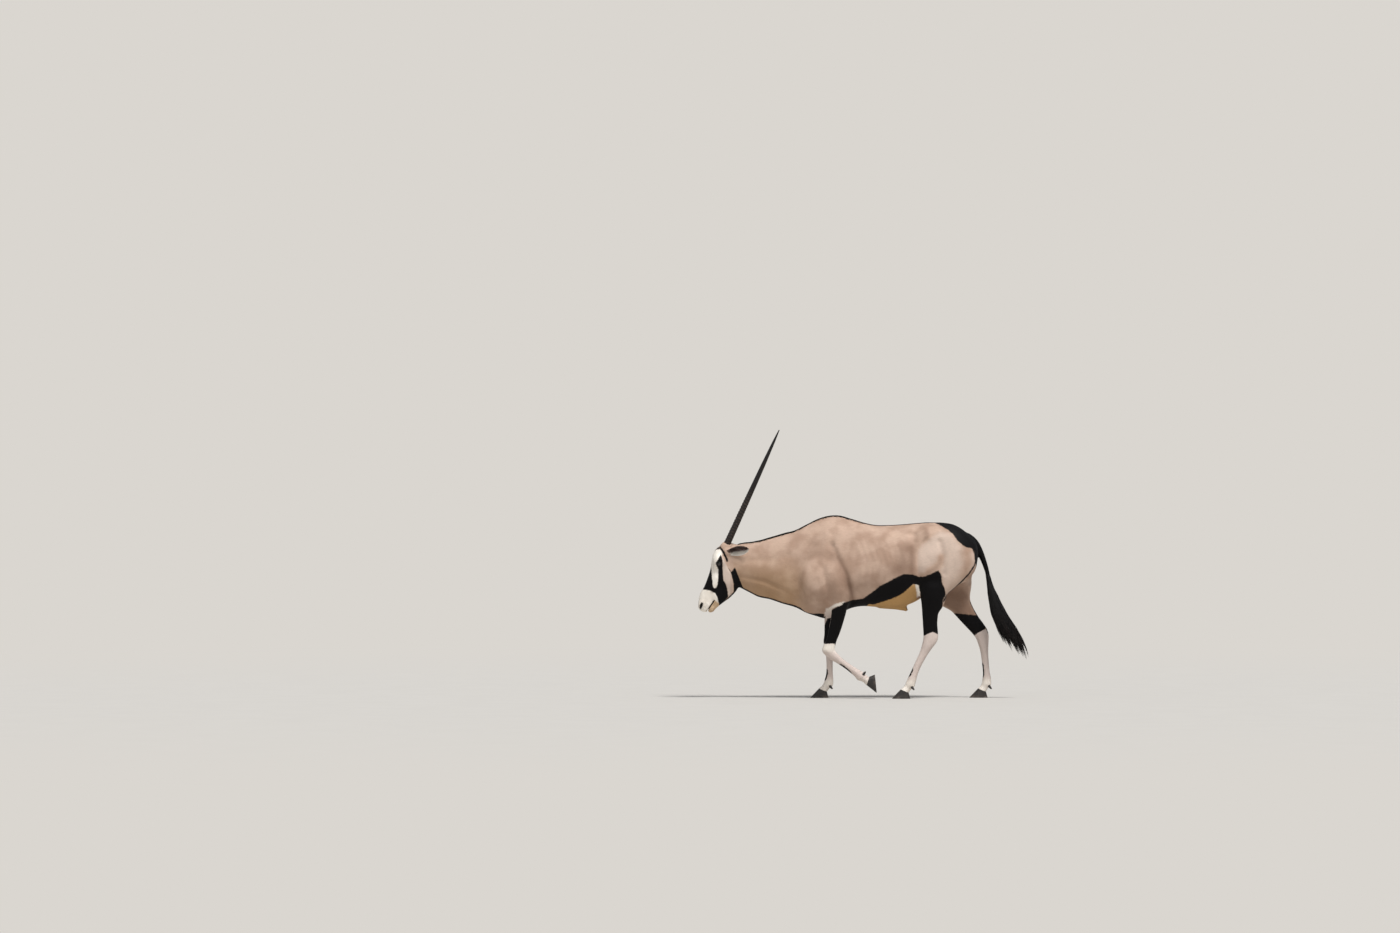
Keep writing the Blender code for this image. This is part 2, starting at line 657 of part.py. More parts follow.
def one_surface(obj, score):
    """Only the closed surface of the mesh that scores highest, such as the largest."""
    shape = bmesh.new()
    shape.from_mesh(obj.data)
    left = set(shape.faces)
    groups = []
    while left:
        queue, group = [left.pop()], []
        while queue:
            face = queue.pop()
            group.append(face)
            near = {other for edge in face.edges for other in edge.link_faces}
            queue += near & left
            left -= near
        groups.append(group)
    groups.sort(key=score)
    for group in groups[:-1]:
        bmesh.ops.delete(shape, geom=group, context="FACES")
    shape.to_mesh(obj.data)
    shape.free()
    return obj


def copied(obj, name, grow=0.0):
    """A copy of the object, grown outward by a little if asked."""
    copy = bpy.data.objects.new(name, obj.data.copy())
    bpy.context.scene.collection.objects.link(copy)
    if grow:
        modifier = copy.modifiers.new("grow", "DISPLACE")
        modifier.strength = grow
        modifier.mid_level = 0.0
        settle(copy)
    return copy


class Cut:
    """A flat cut through the body, spanning a rectangle about its middle."""

    def __init__(self, middle, normal, side=(0.0, 1.0, 0.0), half=(0.14, 0.50), depth=0.60):
        self.middle = np.array(middle, float)
        self.normal = np.array(normal, float) / np.linalg.norm(normal)
        self.side = np.array(side, float)
        self.up = np.cross(self.normal, self.side)
        self.half, self.depth = half, depth

    def box(self, way):
        """The box that removes what is beyond the cut: 1 for where its normal points, -1 for behind."""
        reach = (-GAP / 2, self.depth)
        corners = [
            self.middle + self.side * self.half[0] * i + self.up * self.half[1] * j + self.normal * way * k
            for i in (-1, 1) for j in (-1, 1) for k in reach
        ]
        faces = [(0, 1, 3, 2), (4, 6, 7, 5), (0, 4, 5, 1), (2, 3, 7, 6), (0, 2, 6, 4), (1, 5, 7, 3)]
        return mesh_object("cutter", corners, faces)


def under_body(x, inner, slope, side):
    """The sloping cut between the body and a leg: its middle along X, inner height and rise outward."""
    length = math.hypot(1.0, slope)
    half = 0.09
    middle = (sum(x) / 2, side * (0.02 + half), inner + half * slope)
    normal = (0.0, side * slope / length, -1.0 / length)
    return Cut(middle, normal, (1.0, 0.0, 0.0), ((x[1] - x[0]) / 2, half * length), 0.25)


NECK_FRONT = Cut((0.824, 0.0, 0.858), (0.988, 0.0, -0.155), half=(0.20, 0.25), depth=0.50)
NECK_BACK = Cut((0.338, 0.0, 0.890), (0.943, 0.0, 0.333), half=(0.30, 0.50), depth=0.90)
TAIL_ROOT = Cut((-0.745, 0.0, 0.975), (-0.965, 0.0, 0.262), half=(0.12, 0.15), depth=0.30)
DOCK_END = Cut((-0.826, 0.0, 0.775), (-0.10, 0.0, -1.0), half=(0.05, 0.05), depth=0.20)
BODY_CUTS = {
    "fore_left": under_body((0.02, 0.36), 0.477, 1.3, 1),
    "fore_right": under_body((0.02, 0.36), 0.477, 1.3, -1),
    "hind_left": under_body((-0.80, -0.345), 0.560, 1.1, 1),
    "hind_right": under_body((-0.80, -0.345), 0.560, 1.1, -1),
}
# Under the knee or hock, and above the fetlock: a point on the leg, and the way down the leg there
LEG_CUTS = {
    "fore_left": (((0.205, 0.290), (-0.76, -0.65)), ((0.042, 0.168), (-0.78, -0.62))),
    "fore_right": (((0.213, 0.322), (0.0, -1.0)), ((0.213, 0.132), (0.10, -1.0))),
    "hind_left": (((-0.412, 0.326), (0.42, -0.90)), ((-0.327, 0.140), (0.35, -0.93))),
    "hind_right": (((-0.796, 0.332), (-0.12, -0.99)), ((-0.814, 0.140), (-0.02, -1.0))),
}
LEG_BOXES = {
    "fore_left": ((-0.10, 0.0, 0.02), (0.34, 0.22, 0.80)),
    "fore_right": ((0.04, -0.22, 0.02), (0.34, 0.0, 0.80)),
    "hind_left": ((-0.60, 0.0, 0.02), (-0.20, 0.24, 0.86)),
    "hind_right": ((-0.92, -0.24, 0.02), (-0.42, 0.0, 0.86)),
}


def flesh(name, low, high, step, triangles, material):
    """The body's surface inside a box, as one closed mesh with about this many triangles."""
    points, faces = surface(body, low, high, step)
    return reduced(mesh_object(name, points, faces, material), triangles)


def loft(name, rings, material, tip=None):
    """A closed skin over rings with equal numbers of points, ending flat or in a tip."""
    count = len(rings[0])
    points = [point for ring in rings for point in ring]
    faces = [tuple(range(count))]
    for i in range(len(rings) - 1):
        for j in range(count):
            k = (j + 1) % count
            faces.append((i * count + j, i * count + k, (i + 1) * count + k, (i + 1) * count + j))
    last = (len(rings) - 1) * count
    if tip is None:
        faces.append(tuple(range(last, last + count)))
    else:
        points.append(tip)
        faces += [(last + j, last + (j + 1) % count, len(points) - 1) for j in range(count)]
    return mesh_object(name, points, faces, material)


def ring(middle, ahead, side, reach, count=12, start=0.0):
    """Points round an ellipse with its half sizes along two directions."""
    angles = start + np.arange(count) * 2 * math.pi / count
    ahead, side = np.array(ahead) * reach[0], np.array(side) * reach[1]
    return [np.array(middle) + ahead * math.cos(a) + side * math.sin(a) for a in angles]


def leg(name, material):
    """The thigh or forearm, cannon and pastern of one leg, the two halves of its hoof and its dewclaws."""
    foot = FEET[name]
    whole = flesh("whole", *LEG_BOXES[name], FINE, LEG_FACES, "pale")
    below, above = [
        Cut((x, foot.track, z), (dx, 0.0, dz)) for (x, z), (dx, dz) in LEG_CUTS[name]
    ]
    slope = turned(foot.pitch, math.sin(CORONET_SLOPE), -math.cos(CORONET_SLOPE))
    coronet = Cut(foot.at(0.0, 0.0, 0.0), (slope[0], 0.0, slope[1]))
    combined(whole, [BODY_CUTS[name].box(-1)], "DIFFERENCE", score=depth)
    upper = copied(whole, f"leg_{name}_upper")
    combined(upper, [below.box(1)], "DIFFERENCE")
    upper.data.materials[0] = MATERIALS[material]
    cannon = copied(whole, f"leg_{name}_cannon")
    combined(cannon, [below.box(-1), above.box(1)], "DIFFERENCE")
    pastern = copied(whole, f"leg_{name}_pastern")
    combined(pastern, [above.box(-1), coronet.box(1)], "DIFFERENCE")
    bpy.data.objects.remove(whole)
    for side, place in ((1, "left"), (-1, "right")):
        claw(f"hoof_{name}_{place}", foot, side)
        dew = dewclaw(f"dewclaw_{name}_{place}", foot, side)
        combined(dew, [copied(pastern, "grown", GAP * 1.5)], "DIFFERENCE")


# Half a hoof seen from above, from the toe round the outer wall to the heel and back along the cleft:
# distances forward as shares of the hoof's length, outward as shares of its width
SOLE = (
    (0.690, 0.26), (0.600, 0.62), (0.390, 0.92), (0.130, 1.00), (-0.120, 0.93), (-0.260, 0.68),
    (-0.310, 0.36), (-0.250, 0.10), (0.000, 0.07), (0.250, 0.07), (0.500, 0.09), (0.640, 0.13),
)
CROWN = (
    (0.235, 0.20), (0.215, 0.46), (0.150, 0.70), (0.050, 0.86), (-0.080, 0.86), (-0.180, 0.66),
    (-0.235, 0.36), (-0.220, 0.07), (-0.100, 0.05), (0.030, 0.05), (0.130, 0.05), (0.205, 0.08),
)


def claw(name, foot, side):
    """One half of the cloven hoof, with its sole on a plane."""
    sin, cos = math.sin(CORONET_SLOPE), math.cos(CORONET_SLOPE)
    rings = []
    for share, inset in ((0.0, 0.0), (0.35, 0.0), (0.92, 0.0), (1.0, 0.06)):
        points = []
        for (sx, sy), (cx, cy) in zip(SOLE, CROWN):
            sole = np.array([sx * (1 - inset) * HOOF_LENGTH, sy * HOOF_WIDTH, -CORONET_HEIGHT])
            sole[1] += (0.5 - sy) * HOOF_WIDTH * inset
            along = cx * HOOF_LENGTH
            crown = np.array([along * cos + GAP / 2 * sin, cy * HOOF_WIDTH, along * sin - GAP / 2 * cos])
            x, y, z = crown + (sole - crown) * share
            points.append(foot.at(x, side * y, z))
        rings.append(points)
    return loft(name, rings, "hoof")


def dewclaw(name, foot, side):
    """A small horn cone behind the fetlock, pointing down."""
    start, end = np.array([-0.044, 0.017, 0.032]), np.array([-0.068, 0.021, 0.004])
    rings = []
    for share, size in ((0.0, 0.0095), (0.45, 0.0105), (0.85, 0.0065)):
        middle = start + (end - start) * share
        middle = foot.at(middle[0], side * middle[1], middle[2])
        ahead, up = turned(foot.pitch, 0.72, -0.55)
        rings.append(ring(middle, (ahead, 0.0, up), (0.0, 1.0, 0.0), (size, size * 0.9), 8))
    return loft(name, rings, "hoof", tip=foot.at(end[0], side * end[1], end[2]))


def horn(name, side):
    """A straight tapering horn, ringed on its lower part, with its root sunk into the head."""
    base, tip = np.array(HORN_BASE) * (1, side, 1), np.array(HORN_TIP) * (1, side, 1)
    length = np.linalg.norm(tip - base)
    along = (tip - base) / length
    ahead = np.cross((0.0, 1.0, 0.0), along)
    ahead /= np.linalg.norm(ahead)
    across = np.cross(along, ahead)
    pitch = HORN_RING_SHARE / HORN_RINGS
    places = [(-0.020, 0.0)]
    for i in range(HORN_RINGS):
        places += [(pitch * i, -0.6), (pitch * (i + 0.55), 1.0 - 0.5 * i / HORN_RINGS)]
    places += [(share, 0.0) for share in np.linspace(HORN_RING_SHARE, 0.97, 5)]
    rings = []
    for share, ridge in places:
        size = HORN_RADIUS * np.interp(share, (0.0, 0.4, 0.7, 0.9, 1.0), (1.0, 0.80, 0.58, 0.33, 0.10))
        points = []
        for angle in np.arange(10) * math.pi / 5:
            swell = size + 0.0012 * ridge * (1.2 + 0.8 * math.cos(angle))
            around = ahead * math.cos(angle) + across * math.sin(angle) * 0.94
            points.append(base + along * length * share + around * swell)
        rings.append(points)
    return loft(name, rings, "horn", tip=tip)


# The ear from its root to near its tip: how far along, half its width, the depth of its back, and how
# deep the cup is as a share of that
EAR = (
    (-0.07, 0.012, 0.0105, 0.0), (0.04, 0.015, 0.0130, 0.1), (0.18, 0.022, 0.0170, 0.8),
    (0.36, 0.030, 0.0190, 1.0), (0.54, 0.033, 0.0175, 1.0), (0.72, 0.028, 0.0135, 1.0),
    (0.88, 0.016, 0.0080, 0.7),
)


def ear(name, side):
    """A leaf-shaped ear laid back along the neck, its cup open outward and a little down."""
    root = HEAD.outward((0.024, side * 0.066, -0.016))
    along = np.array([-0.94, side * 0.28, 0.14])
    along /= np.linalg.norm(along)
    out = np.array([0.10, side * 1.0, -0.45])
    out -= along * (out @ along)
    out /= np.linalg.norm(out)
    wide = np.cross(along, out)
    back_angles = np.radians(np.linspace(-90, 90, 7))
    cup_angles = np.radians(np.linspace(75, -75, 6))
    rings = []
    for share, half, deep, cup in EAR:
        middle = root + along * EAR_LENGTH * share
        points = [middle + wide * half * math.sin(a) - out * deep * math.cos(a) for a in back_angles]
        for a in cup_angles:
            across, inward = (half - EAR_WALL * 0.7) * math.sin(a), (deep - EAR_WALL) * math.cos(a) * cup
            points.append(middle + wide * across - out * inward)
        rings.append(points)
    return loft(name, rings, "pale", tip=root + along * EAR_LENGTH - out * 0.002)


def eye(name, side):
    """The eyeball."""
    shape = bmesh.new()
    bmesh.ops.create_icosphere(shape, subdivisions=2, radius=EYE_RADIUS)
    mesh = bpy.data.meshes.new(name)
    shape.to_mesh(mesh)
    shape.free()
    middle = HEAD.outward((EYE_DOWN, side * EYE_SIDE, EYE_OUT))
    mesh.transform(Matrix.Translation(middle.tolist()))
    mesh.materials.append(MATERIALS["eye"])
    obj = bpy.data.objects.new(name, mesh)
    bpy.context.scene.collection.objects.link(obj)
    return obj


def head():
    """The head with both eyes, horns and ears set into it."""
    skull = flesh("head", (0.74, -0.14, 0.50), (1.12, 0.14, 1.07), HEAD_FINE, HEAD_FACES, "coat")
    combined(skull, [NECK_FRONT.box(-1)], "DIFFERENCE")
    for side, place in ((1, "left"), (-1, "right")):
        for make in (eye, horn, ear):
            piece = make(f"{make.__name__}_{place}", side)
            combined(skull, [copied(piece, "socket", GAP * 1.5)], "DIFFERENCE")


def lock(path, across, wide, thick):
    """A flat lock of hair along a path: widest a third of the way down, and tapered to a point."""
    rings = []
    for i in range(len(path) - 1):
        share = i / (len(path) - 1)
        taper = np.interp(share, (0.0, 0.3, 0.7, 1.0), (0.75, 1.0, 0.72, 0.15))
        along = path[min(i + 1, len(path) - 1)] - path[max(i - 1, 0)]
        flat = across - along * (across @ along) / (along @ along)
        flat /= np.linalg.norm(flat)
        thin = np.cross(along, flat) / np.linalg.norm(along)
        half = taper * wide / 2, taper * thick / 2
        rings.append([path[i] + flat * half[0], path[i] + thin * half[1],
                      path[i] - flat * half[0], path[i] - thin * half[1]])
    return loft("lock", rings, None, tip=path[-1])


def mane(neck):
    """Short locks in a narrow line along the crest, lying back, each tip a little clear of the last."""
    crest = TRUNK.rows
    draw = np.random.default_rng(5)
    locks = []
    for i in range(MANE_LOCKS):
        start = MANE_FRONT + (MANE_BACK - MANE_FRONT) * i / (MANE_LOCKS - 1)
        lean = (i % 3 - 1) * 0.006
        length = MANE_LOCK * draw.uniform(0.9, 1.15)
        path = []
        for share in (0.0, 0.25, 0.5, 0.75, 1.0):
            x = start - length * share
            top = eased(crest[:, 0], crest[:, 1], np.array([x]))[0]
            lift = -0.012 + 0.023 * share ** 0.8
            path.append(np.array([x, lean * (0.4 + 1.2 * share), top + lift]))
        locks.append(lock(path, np.array([0.0, 0.0, 1.0]), 0.025, 0.010))
    return combined(neck, locks, "UNION")


def trunk():
    """The torso, and the neck with its mane."""
    torso = flesh("torso", (-0.86, -0.27, 0.40), (0.50, 0.27, 1.25), COARSE, TORSO_FACES, "coat")
    combined(torso, [NECK_BACK.box(1), TAIL_ROOT.box(1)], "DIFFERENCE")
    for cut in BODY_CUTS.values():
        combined(torso, [cut.box(1)], "DIFFERENCE")
    neck = flesh("neck", (0.14, -0.22, 0.44), (0.97, 0.22, 1.24), COARSE, NECK_FACES, "coat")
    mane(neck)
    combined(neck, [NECK_BACK.box(-1), NECK_FRONT.box(1)], "DIFFERENCE")
    for name in ("ear_left", "ear_right"):
        combined(neck, [copied(bpy.data.objects[name], "socket", GAP * 1.5)], "DIFFERENCE")


# The tail hair seen from the side: height, X of its front and rear edges, and half its width
TUFT = (
    (0.230, -0.975, -1.094, 0.030), (0.270, -0.950, -1.096, 0.036), (0.330, -0.918, -1.078, 0.040),
    (0.400, -0.888, -1.048, 0.043), (0.470, -0.865, -1.008, 0.045), (0.5425, -0.837, -0.957, 0.042),
    (0.613, -0.825, -0.9165, 0.035), (0.678, -0.816, -0.884, 0.027), (0.730, -0.812, -0.856, 0.020),
    (0.775, -0.8075, -0.8435, 0.0155),
)


def tuft_point(height, across, side):
    """A place in the tail hair: across runs from -1 at its front edge to 1 at its rear, side to its left."""
    rows = np.array(TUFT)
    front, rear, half = eased(rows[:, 0], rows[:, 1:], np.array([height]))[0]
    return np.array([(front + rear) / 2 + (rear - front) / 2 * across, half * side, height])


def tail():
    """The dock, and long hair that hangs from it round a core that ends half way down."""
    dock = flesh("tail_dock", (-0.93, -0.10, 0.66), (-0.66, 0.10, 1.14), FINE, DOCK_FACES, "coat")
    combined(dock, [TAIL_ROOT.box(-1), DOCK_END.box(1)], "DIFFERENCE")
    angles = np.arange(10) * math.pi / 5
    rings = []
    for height, size in ((0.79, 1.0), (0.74, 0.95), (0.68, 0.85), (0.62, 0.75), (0.57, 0.60)):
        rings.append([tuft_point(height, math.cos(a) * size, math.sin(a) * size) for a in angles])
    tuft = loft("tail_tuft", rings, "dark", tip=tuft_point(0.51, 0.0, 0.0))
    draw = np.random.default_rng(9)
    locks = []
    for i in range(TAIL_LOCKS):
        angle = i * 2.399963
        across, side = math.cos(angle), math.sin(angle)
        start = 0.765 - 0.22 * (i / TAIL_LOCKS) ** 1.2
        end = 0.325 - 0.075 * across + draw.uniform(-0.02, 0.045)
        spread = 0.80 + 0.14 * draw.random()
        path = []
        for share in np.linspace(0.0, 1.0, 6):
            height = start + (end - start) * share
            out = 0.62 + (spread - 0.62) * min(1.0, share * 2.2)
            wave = 0.05 * math.sin(share * 5.0 + i)
            path.append(tuft_point(height, across * out + wave, side * out))
        locks.append(lock(path, np.array([-side * 1.0, across * 0.4, 0.0]), 0.034, 0.014))
    combined(tuft, locks, "UNION")
    combined(tuft, [DOCK_END.box(-1)], "DIFFERENCE")


def stand_on_origin():
    """Move every piece so that the model's box stands on the origin."""
    pieces = [obj for obj in bpy.data.objects if obj.type == "MESH"]
    points = np.concatenate([[v.co for v in obj.data.vertices] for obj in pieces])
    low, high = points.min(axis=0), points.max(axis=0)
    move = Vector((-(low[0] + high[0]) / 2, -(low[1] + high[1]) / 2, -low[2]))
    for obj in pieces:
        obj.data.transform(Matrix.Translation(move))
        obj.data.shade_smooth()
        obj.data.set_sharp_from_angle(angle=math.radians(50))


for old in list(bpy.data.objects):
    bpy.data.objects.remove(old)
MATERIALS = {
    "coat": principled("fawn_coat", (0.42, 0.30, 0.23), 0.85),
    "dark": principled("black_coat", (0.02, 0.018, 0.017), 0.80),
    "pale": principled("white_coat", (0.72, 0.68, 0.62), 0.85),
    "horn": principled("horn", (0.035, 0.025, 0.020), 0.45),
    "hoof": principled("hoof", (0.030, 0.028, 0.025), 0.50),
    "eye": principled("eye", (0.012, 0.008, 0.006), 0.08),
}
head()
trunk()
tail()
for leg_name in FEET:
    leg(leg_name, "dark")
stand_on_origin()
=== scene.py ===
"""The looks of a life-size gemsbok bull that walks with its head low.

The skin is one finely meshed surface of a blended field of distances, like the field that the solids were
cut from. Black, white and fawn are outlines on the skin, kept as a signed distance at each point,
and the coat's tufts carry the values of the skin where they are rooted. Lengths are in metres, apart from
the long tables of places, which are in millimetres and pass through mm().
"""

import json
import math
from concurrent.futures import ThreadPoolExecutor
from itertools import product

import bmesh
import bpy
import numpy as np
from mathutils import Matrix, Vector

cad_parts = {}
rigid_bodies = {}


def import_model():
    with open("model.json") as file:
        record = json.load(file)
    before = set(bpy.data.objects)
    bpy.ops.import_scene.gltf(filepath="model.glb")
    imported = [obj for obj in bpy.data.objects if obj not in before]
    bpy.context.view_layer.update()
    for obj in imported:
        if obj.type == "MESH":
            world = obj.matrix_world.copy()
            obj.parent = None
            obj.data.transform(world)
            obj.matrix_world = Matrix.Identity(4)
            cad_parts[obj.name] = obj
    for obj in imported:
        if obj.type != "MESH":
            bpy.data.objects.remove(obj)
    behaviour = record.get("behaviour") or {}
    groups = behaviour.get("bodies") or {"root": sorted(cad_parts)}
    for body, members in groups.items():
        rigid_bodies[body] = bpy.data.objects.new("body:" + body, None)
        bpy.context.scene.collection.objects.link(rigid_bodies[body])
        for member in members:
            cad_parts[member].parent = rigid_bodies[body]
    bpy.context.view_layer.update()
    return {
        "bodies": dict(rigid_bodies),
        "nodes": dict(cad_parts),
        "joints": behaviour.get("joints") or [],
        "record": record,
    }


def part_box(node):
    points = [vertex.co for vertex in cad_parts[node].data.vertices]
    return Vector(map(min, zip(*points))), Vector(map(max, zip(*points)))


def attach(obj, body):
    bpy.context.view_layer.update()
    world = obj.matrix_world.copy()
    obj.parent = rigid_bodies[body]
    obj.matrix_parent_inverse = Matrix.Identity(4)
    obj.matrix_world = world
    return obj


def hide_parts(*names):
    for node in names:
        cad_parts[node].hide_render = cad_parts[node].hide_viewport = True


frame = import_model()

# The sizes that the solids were made from
HEAD_TILT = math.radians(71.3)
POLL = (0.895, 0.0, 0.975)
EYE_RADIUS = 0.0200
EYE_DOWN, EYE_SIDE, EYE_OUT = 0.104, 0.0605, 0.004
HORN_BASE = (0.887, 0.034, 0.990)
HORN_TIP = (0.540, 0.140, 1.750)
HORN_RADIUS = 0.0225
EAR_LENGTH = 0.155
FORE_TRACK = 0.105
HIND_TRACK = 0.115
HOOF_LENGTH = 0.121
HOOF_WIDTH = 0.034
CORONET_HEIGHT = 0.048
CORONET_SLOPE = math.radians(22)

# The animal's sides: Y is positive on its left
SIDES = {1: "left", -1: "right"}
# The corners of a unit cell, with the last place changing fastest
CORNERS = list(product((0, 1), repeat=3))

# How far the skin lies inside the solids: on the trunk, the legs and the head
TRUNK_DEPTH, LEG_DEPTH, HEAD_DEPTH = 0.0026, 0.0014, 0.0008

FINENESS = 1.0
TRUNK_STEP, LEG_STEP, HEAD_STEP = 0.0060 * FINENESS, 0.0040 * FINENESS, 0.0024 * FINENESS
SKIN_TRIANGLES = 192000


def eased(stations, values, x):
    """Cubic curve through the values at rising stations, with slopes from their neighbours."""
    stations, values = np.asarray(stations, float), np.asarray(values, float)
    slope = np.gradient(values, stations, axis=0)
    i = np.clip(np.searchsorted(stations, x) - 1, 0, len(stations) - 2)
    width = stations[i + 1] - stations[i]
    t = np.clip((x - stations[i]) / width, 0.0, 1.0)
    if values.ndim > 1:
        t, width = t[..., None], width[..., None]
    between = (1 + 2 * t) * (1 - t) ** 2 * values[i] + t * t * (3 - 2 * t) * values[i + 1]
    return between + width * (t * (1 - t) ** 2 * slope[i] - t * t * (1 - t) * slope[i + 1])


def mm(*rows):
    """Rows given in millimetres, as an array in metres."""
    return np.array(rows, float) / 1000


def turns(count):
    """This many even angles round a circle."""
    return np.arange(count) * 2 * math.pi / count


def smooth(low, high, x):
    """Zero below low, one above high, and an S-curve between them."""
    t = np.clip((x - low) / (high - low), 0.0, 1.0)
    return t * t * (3 - 2 * t)


def fall(low, high, x):
    """One below low, zero above high, and an S-curve between them."""
    return 1.0 - smooth(low, high, x)


def joined(a, b, blend):
    """Union of two distances, rounded where they are closer together than blend."""
    h = np.maximum(blend - np.abs(a - b), 0.0) / blend
    return np.minimum(a, b) - h * h * blend * 0.25


def carved(a, b, blend):
    """Distance a with the shape of distance b taken away, its rim rounded over blend."""
    return -joined(-a, b, blend)


class Frame:
    """The head's own frame: down the face, to its left, and out of the forehead."""

    def __init__(self, origin, tilt):
        self.origin = np.array(origin)
        self.axes = np.array([
            [math.cos(tilt), 0.0, -math.sin(tilt)],
            [0.0, 1.0, 0.0],
            [math.sin(tilt), 0.0, math.cos(tilt)],
        ])

    def inward(self, p):
        """Places of the model, in this frame."""
        return (p - self.origin) @ self.axes.T

    def outward(self, p):
        """Places in this frame, in the model."""
        return np.asarray(p) @ self.axes + self.origin


class Form:
    """One shape of the field. Its box of influence reaches past its own size by blend."""

    carve = False
    frame = None
    blend = 0.03

    def limits(self, low, high):
        """Keep the box from low to high, turned out of the form's frame if it has one."""
        if self.frame is not None:
            ends = np.array([low, high])
            world = self.frame.outward([(ends[i, 0], ends[j, 1], ends[k, 2]) for i, j, k in CORNERS])
            low, high = world.min(axis=0), world.max(axis=0)
        self.low, self.high = np.array(low), np.array(high)

    def placed(self, p):
        """The points in the form's own frame."""
        return p if self.frame is None else self.frame.inward(p)


# Columns of the trunk's rows: the height of the back and that of the belly
BACK, BELLY_LEVEL = 1, 3


class Trunk(Form):
    """Neck, chest, belly and loin: egg-shaped sections across X.

    Each row holds in millimetres X, the back's height, the height of the widest level, the belly's height
    and half the width, and then how square the section is above and below the widest level.
    """

    def __init__(self, rows, end=0.05):
        self.rows = np.array(rows, float)[::-1]
        self.rows[:, :5] /= 1000
        self.end = end
        half = self.rows[:, 4].max()
        self.limits(
            (self.rows[0, 0] - end, -half, self.rows[:, 3].min()),
            (self.rows[-1, 0] + end, half, self.rows[:, 1].max()),
        )

    def level(self, column, x):
        """The height in this column of the rows at each X."""
        return eased(self.rows[:, 0], self.rows[:, column], x)

    def distance(self, p):
        x = np.clip(p[:, 0], self.rows[0, 0], self.rows[-1, 0])
        top, wide, bottom, half, above, below = eased(self.rows[:, 0], self.rows[:, 1:], x).T
        up = p[:, 2] - wide
        reach = np.where(up > 0, top - wide, wide - bottom)
        square = np.where(up > 0, above, below)
        past = p[:, 0] - x
        scaled = np.abs(np.stack([past / self.end, p[:, 1] / half, up / reach], axis=1))
        ratio = np.maximum((scaled ** square[:, None]).sum(axis=1) ** (1.0 / square), 1e-6)
        length = np.sqrt(past ** 2 + p[:, 1] ** 2 + up ** 2)
        return length - length / ratio


class Limb(Form):
    """Rounded sections carried along a bent line.

    Each row holds the section's middle, its reach forward, backward and sideways. Forward is square
    to the line, and the way nearest to front.
    """

    def __init__(self, rows, blend, front=(1.0, 0.0, 0.0), power=2.0, steps=3, frame=None):
        rows = np.array(rows, float)
        fine = np.linspace(0, len(rows) - 1, (len(rows) - 1) * steps + 1)
        self.rows = eased(np.arange(len(rows)), rows, fine)
        self.blend, self.power, self.frame = blend, power, frame
        self.front = np.array(front)
        self.tangent = np.gradient(self.rows[:, :3], axis=0)
        self.tangent /= np.linalg.norm(self.tangent, axis=1)[:, None]
        reach = self.rows[:, 3:].max(axis=1)[:, None]
        self.limits((self.rows[:, :3] - reach).min(axis=0), (self.rows[:, :3] + reach).max(axis=0))

    def distance(self, p):
        p = self.placed(p)
        nearest = np.full(len(p), np.inf)
        place = np.zeros(len(p))
        for i in range(len(self.rows) - 1):
            start = self.rows[i, :3]
            step = self.rows[i + 1, :3] - start
            t = np.clip((p - start) @ step / (step @ step), 0.0, 1.0)
            away = ((p - start - t[:, None] * step) ** 2).sum(axis=1)
            closer = away < nearest
            nearest[closer] = away[closer]
            place[closer] = i + t[closer]
        i = np.minimum(place.astype(int), len(self.rows) - 2)
        t = (place - i)[:, None]
        row = self.rows[i] * (1 - t) + self.rows[i + 1] * t
        along = self.tangent[i] * (1 - t) + self.tangent[i + 1] * t
        along /= np.linalg.norm(along, axis=1)[:, None]
        side = np.cross(along, self.front)
        side /= np.linalg.norm(side, axis=1)[:, None]
        ahead = np.cross(side, along)
        offset = p - row[:, :3]
        u, v, w = ((offset * axis).sum(axis=1) for axis in (ahead, side, along))
        reach = np.where(u > 0, row[:, 3], row[:, 4])
        end = row[:, 3:].min(axis=1)
        scaled = np.abs(np.stack([u / reach, v / row[:, 5], w / end], axis=1))
        ratio = np.maximum((scaled ** self.power).sum(axis=1) ** (1.0 / self.power), 1e-6)
        length = np.linalg.norm(offset, axis=1)
        return length - length / ratio


class Muscle(Form):
    """An ellipsoid: its middle, half sizes, and a tilt in degrees that lifts its +X end."""

    def __init__(self, middle, sizes, tilt=0.0, blend=0.04, frame=None, carve=False):
        self.middle, self.sizes = np.array(middle), np.array(sizes)
        self.blend, self.frame, self.carve = blend, frame, carve
        c, s = math.cos(math.radians(tilt)), math.sin(math.radians(tilt))
        self.axes = np.array([[c, 0.0, s], [0.0, 1.0, 0.0], [-s, 0.0, c]])
        self.limits(self.middle - self.sizes.max(), self.middle + self.sizes.max())

    def distance(self, p):
        local = (self.placed(p) - self.middle) @ self.axes.T
        ratio = np.maximum(np.linalg.norm(local / self.sizes, axis=1), 1e-6)
        length = np.linalg.norm(local, axis=1)
        return length - length / ratio


class Lips(Form):
    """The slit between the lips: a thin curved sheet that reaches a little way in from the skin."""

    line = ((0.338, -0.043), (0.372, -0.034), (0.405, -0.026), (0.440, -0.020))
    half, depth, blend = 0.0024, 0.0060, 0.003

    def __init__(self, frame):
        self.frame = frame
        self.limits((0.32, -0.05, -0.07), (0.45, 0.05, 0.01))

    def apply(self, field, p):
        """The field with the slit cut into it: the sheet, no deeper than depth under the skin."""
        local = self.placed(p)
        line = np.array(self.line)
        level = eased(line[:, 0], line[:, 1], np.clip(local[:, 0], line[0, 0], line[-1, 0]))
        slit = np.maximum(np.abs(local[:, 2] - level) - self.half, line[0, 0] - local[:, 0])
        return carved(field, np.maximum(slit, -(field + self.depth)), self.blend)


HEAD = Frame(POLL, HEAD_TILT)


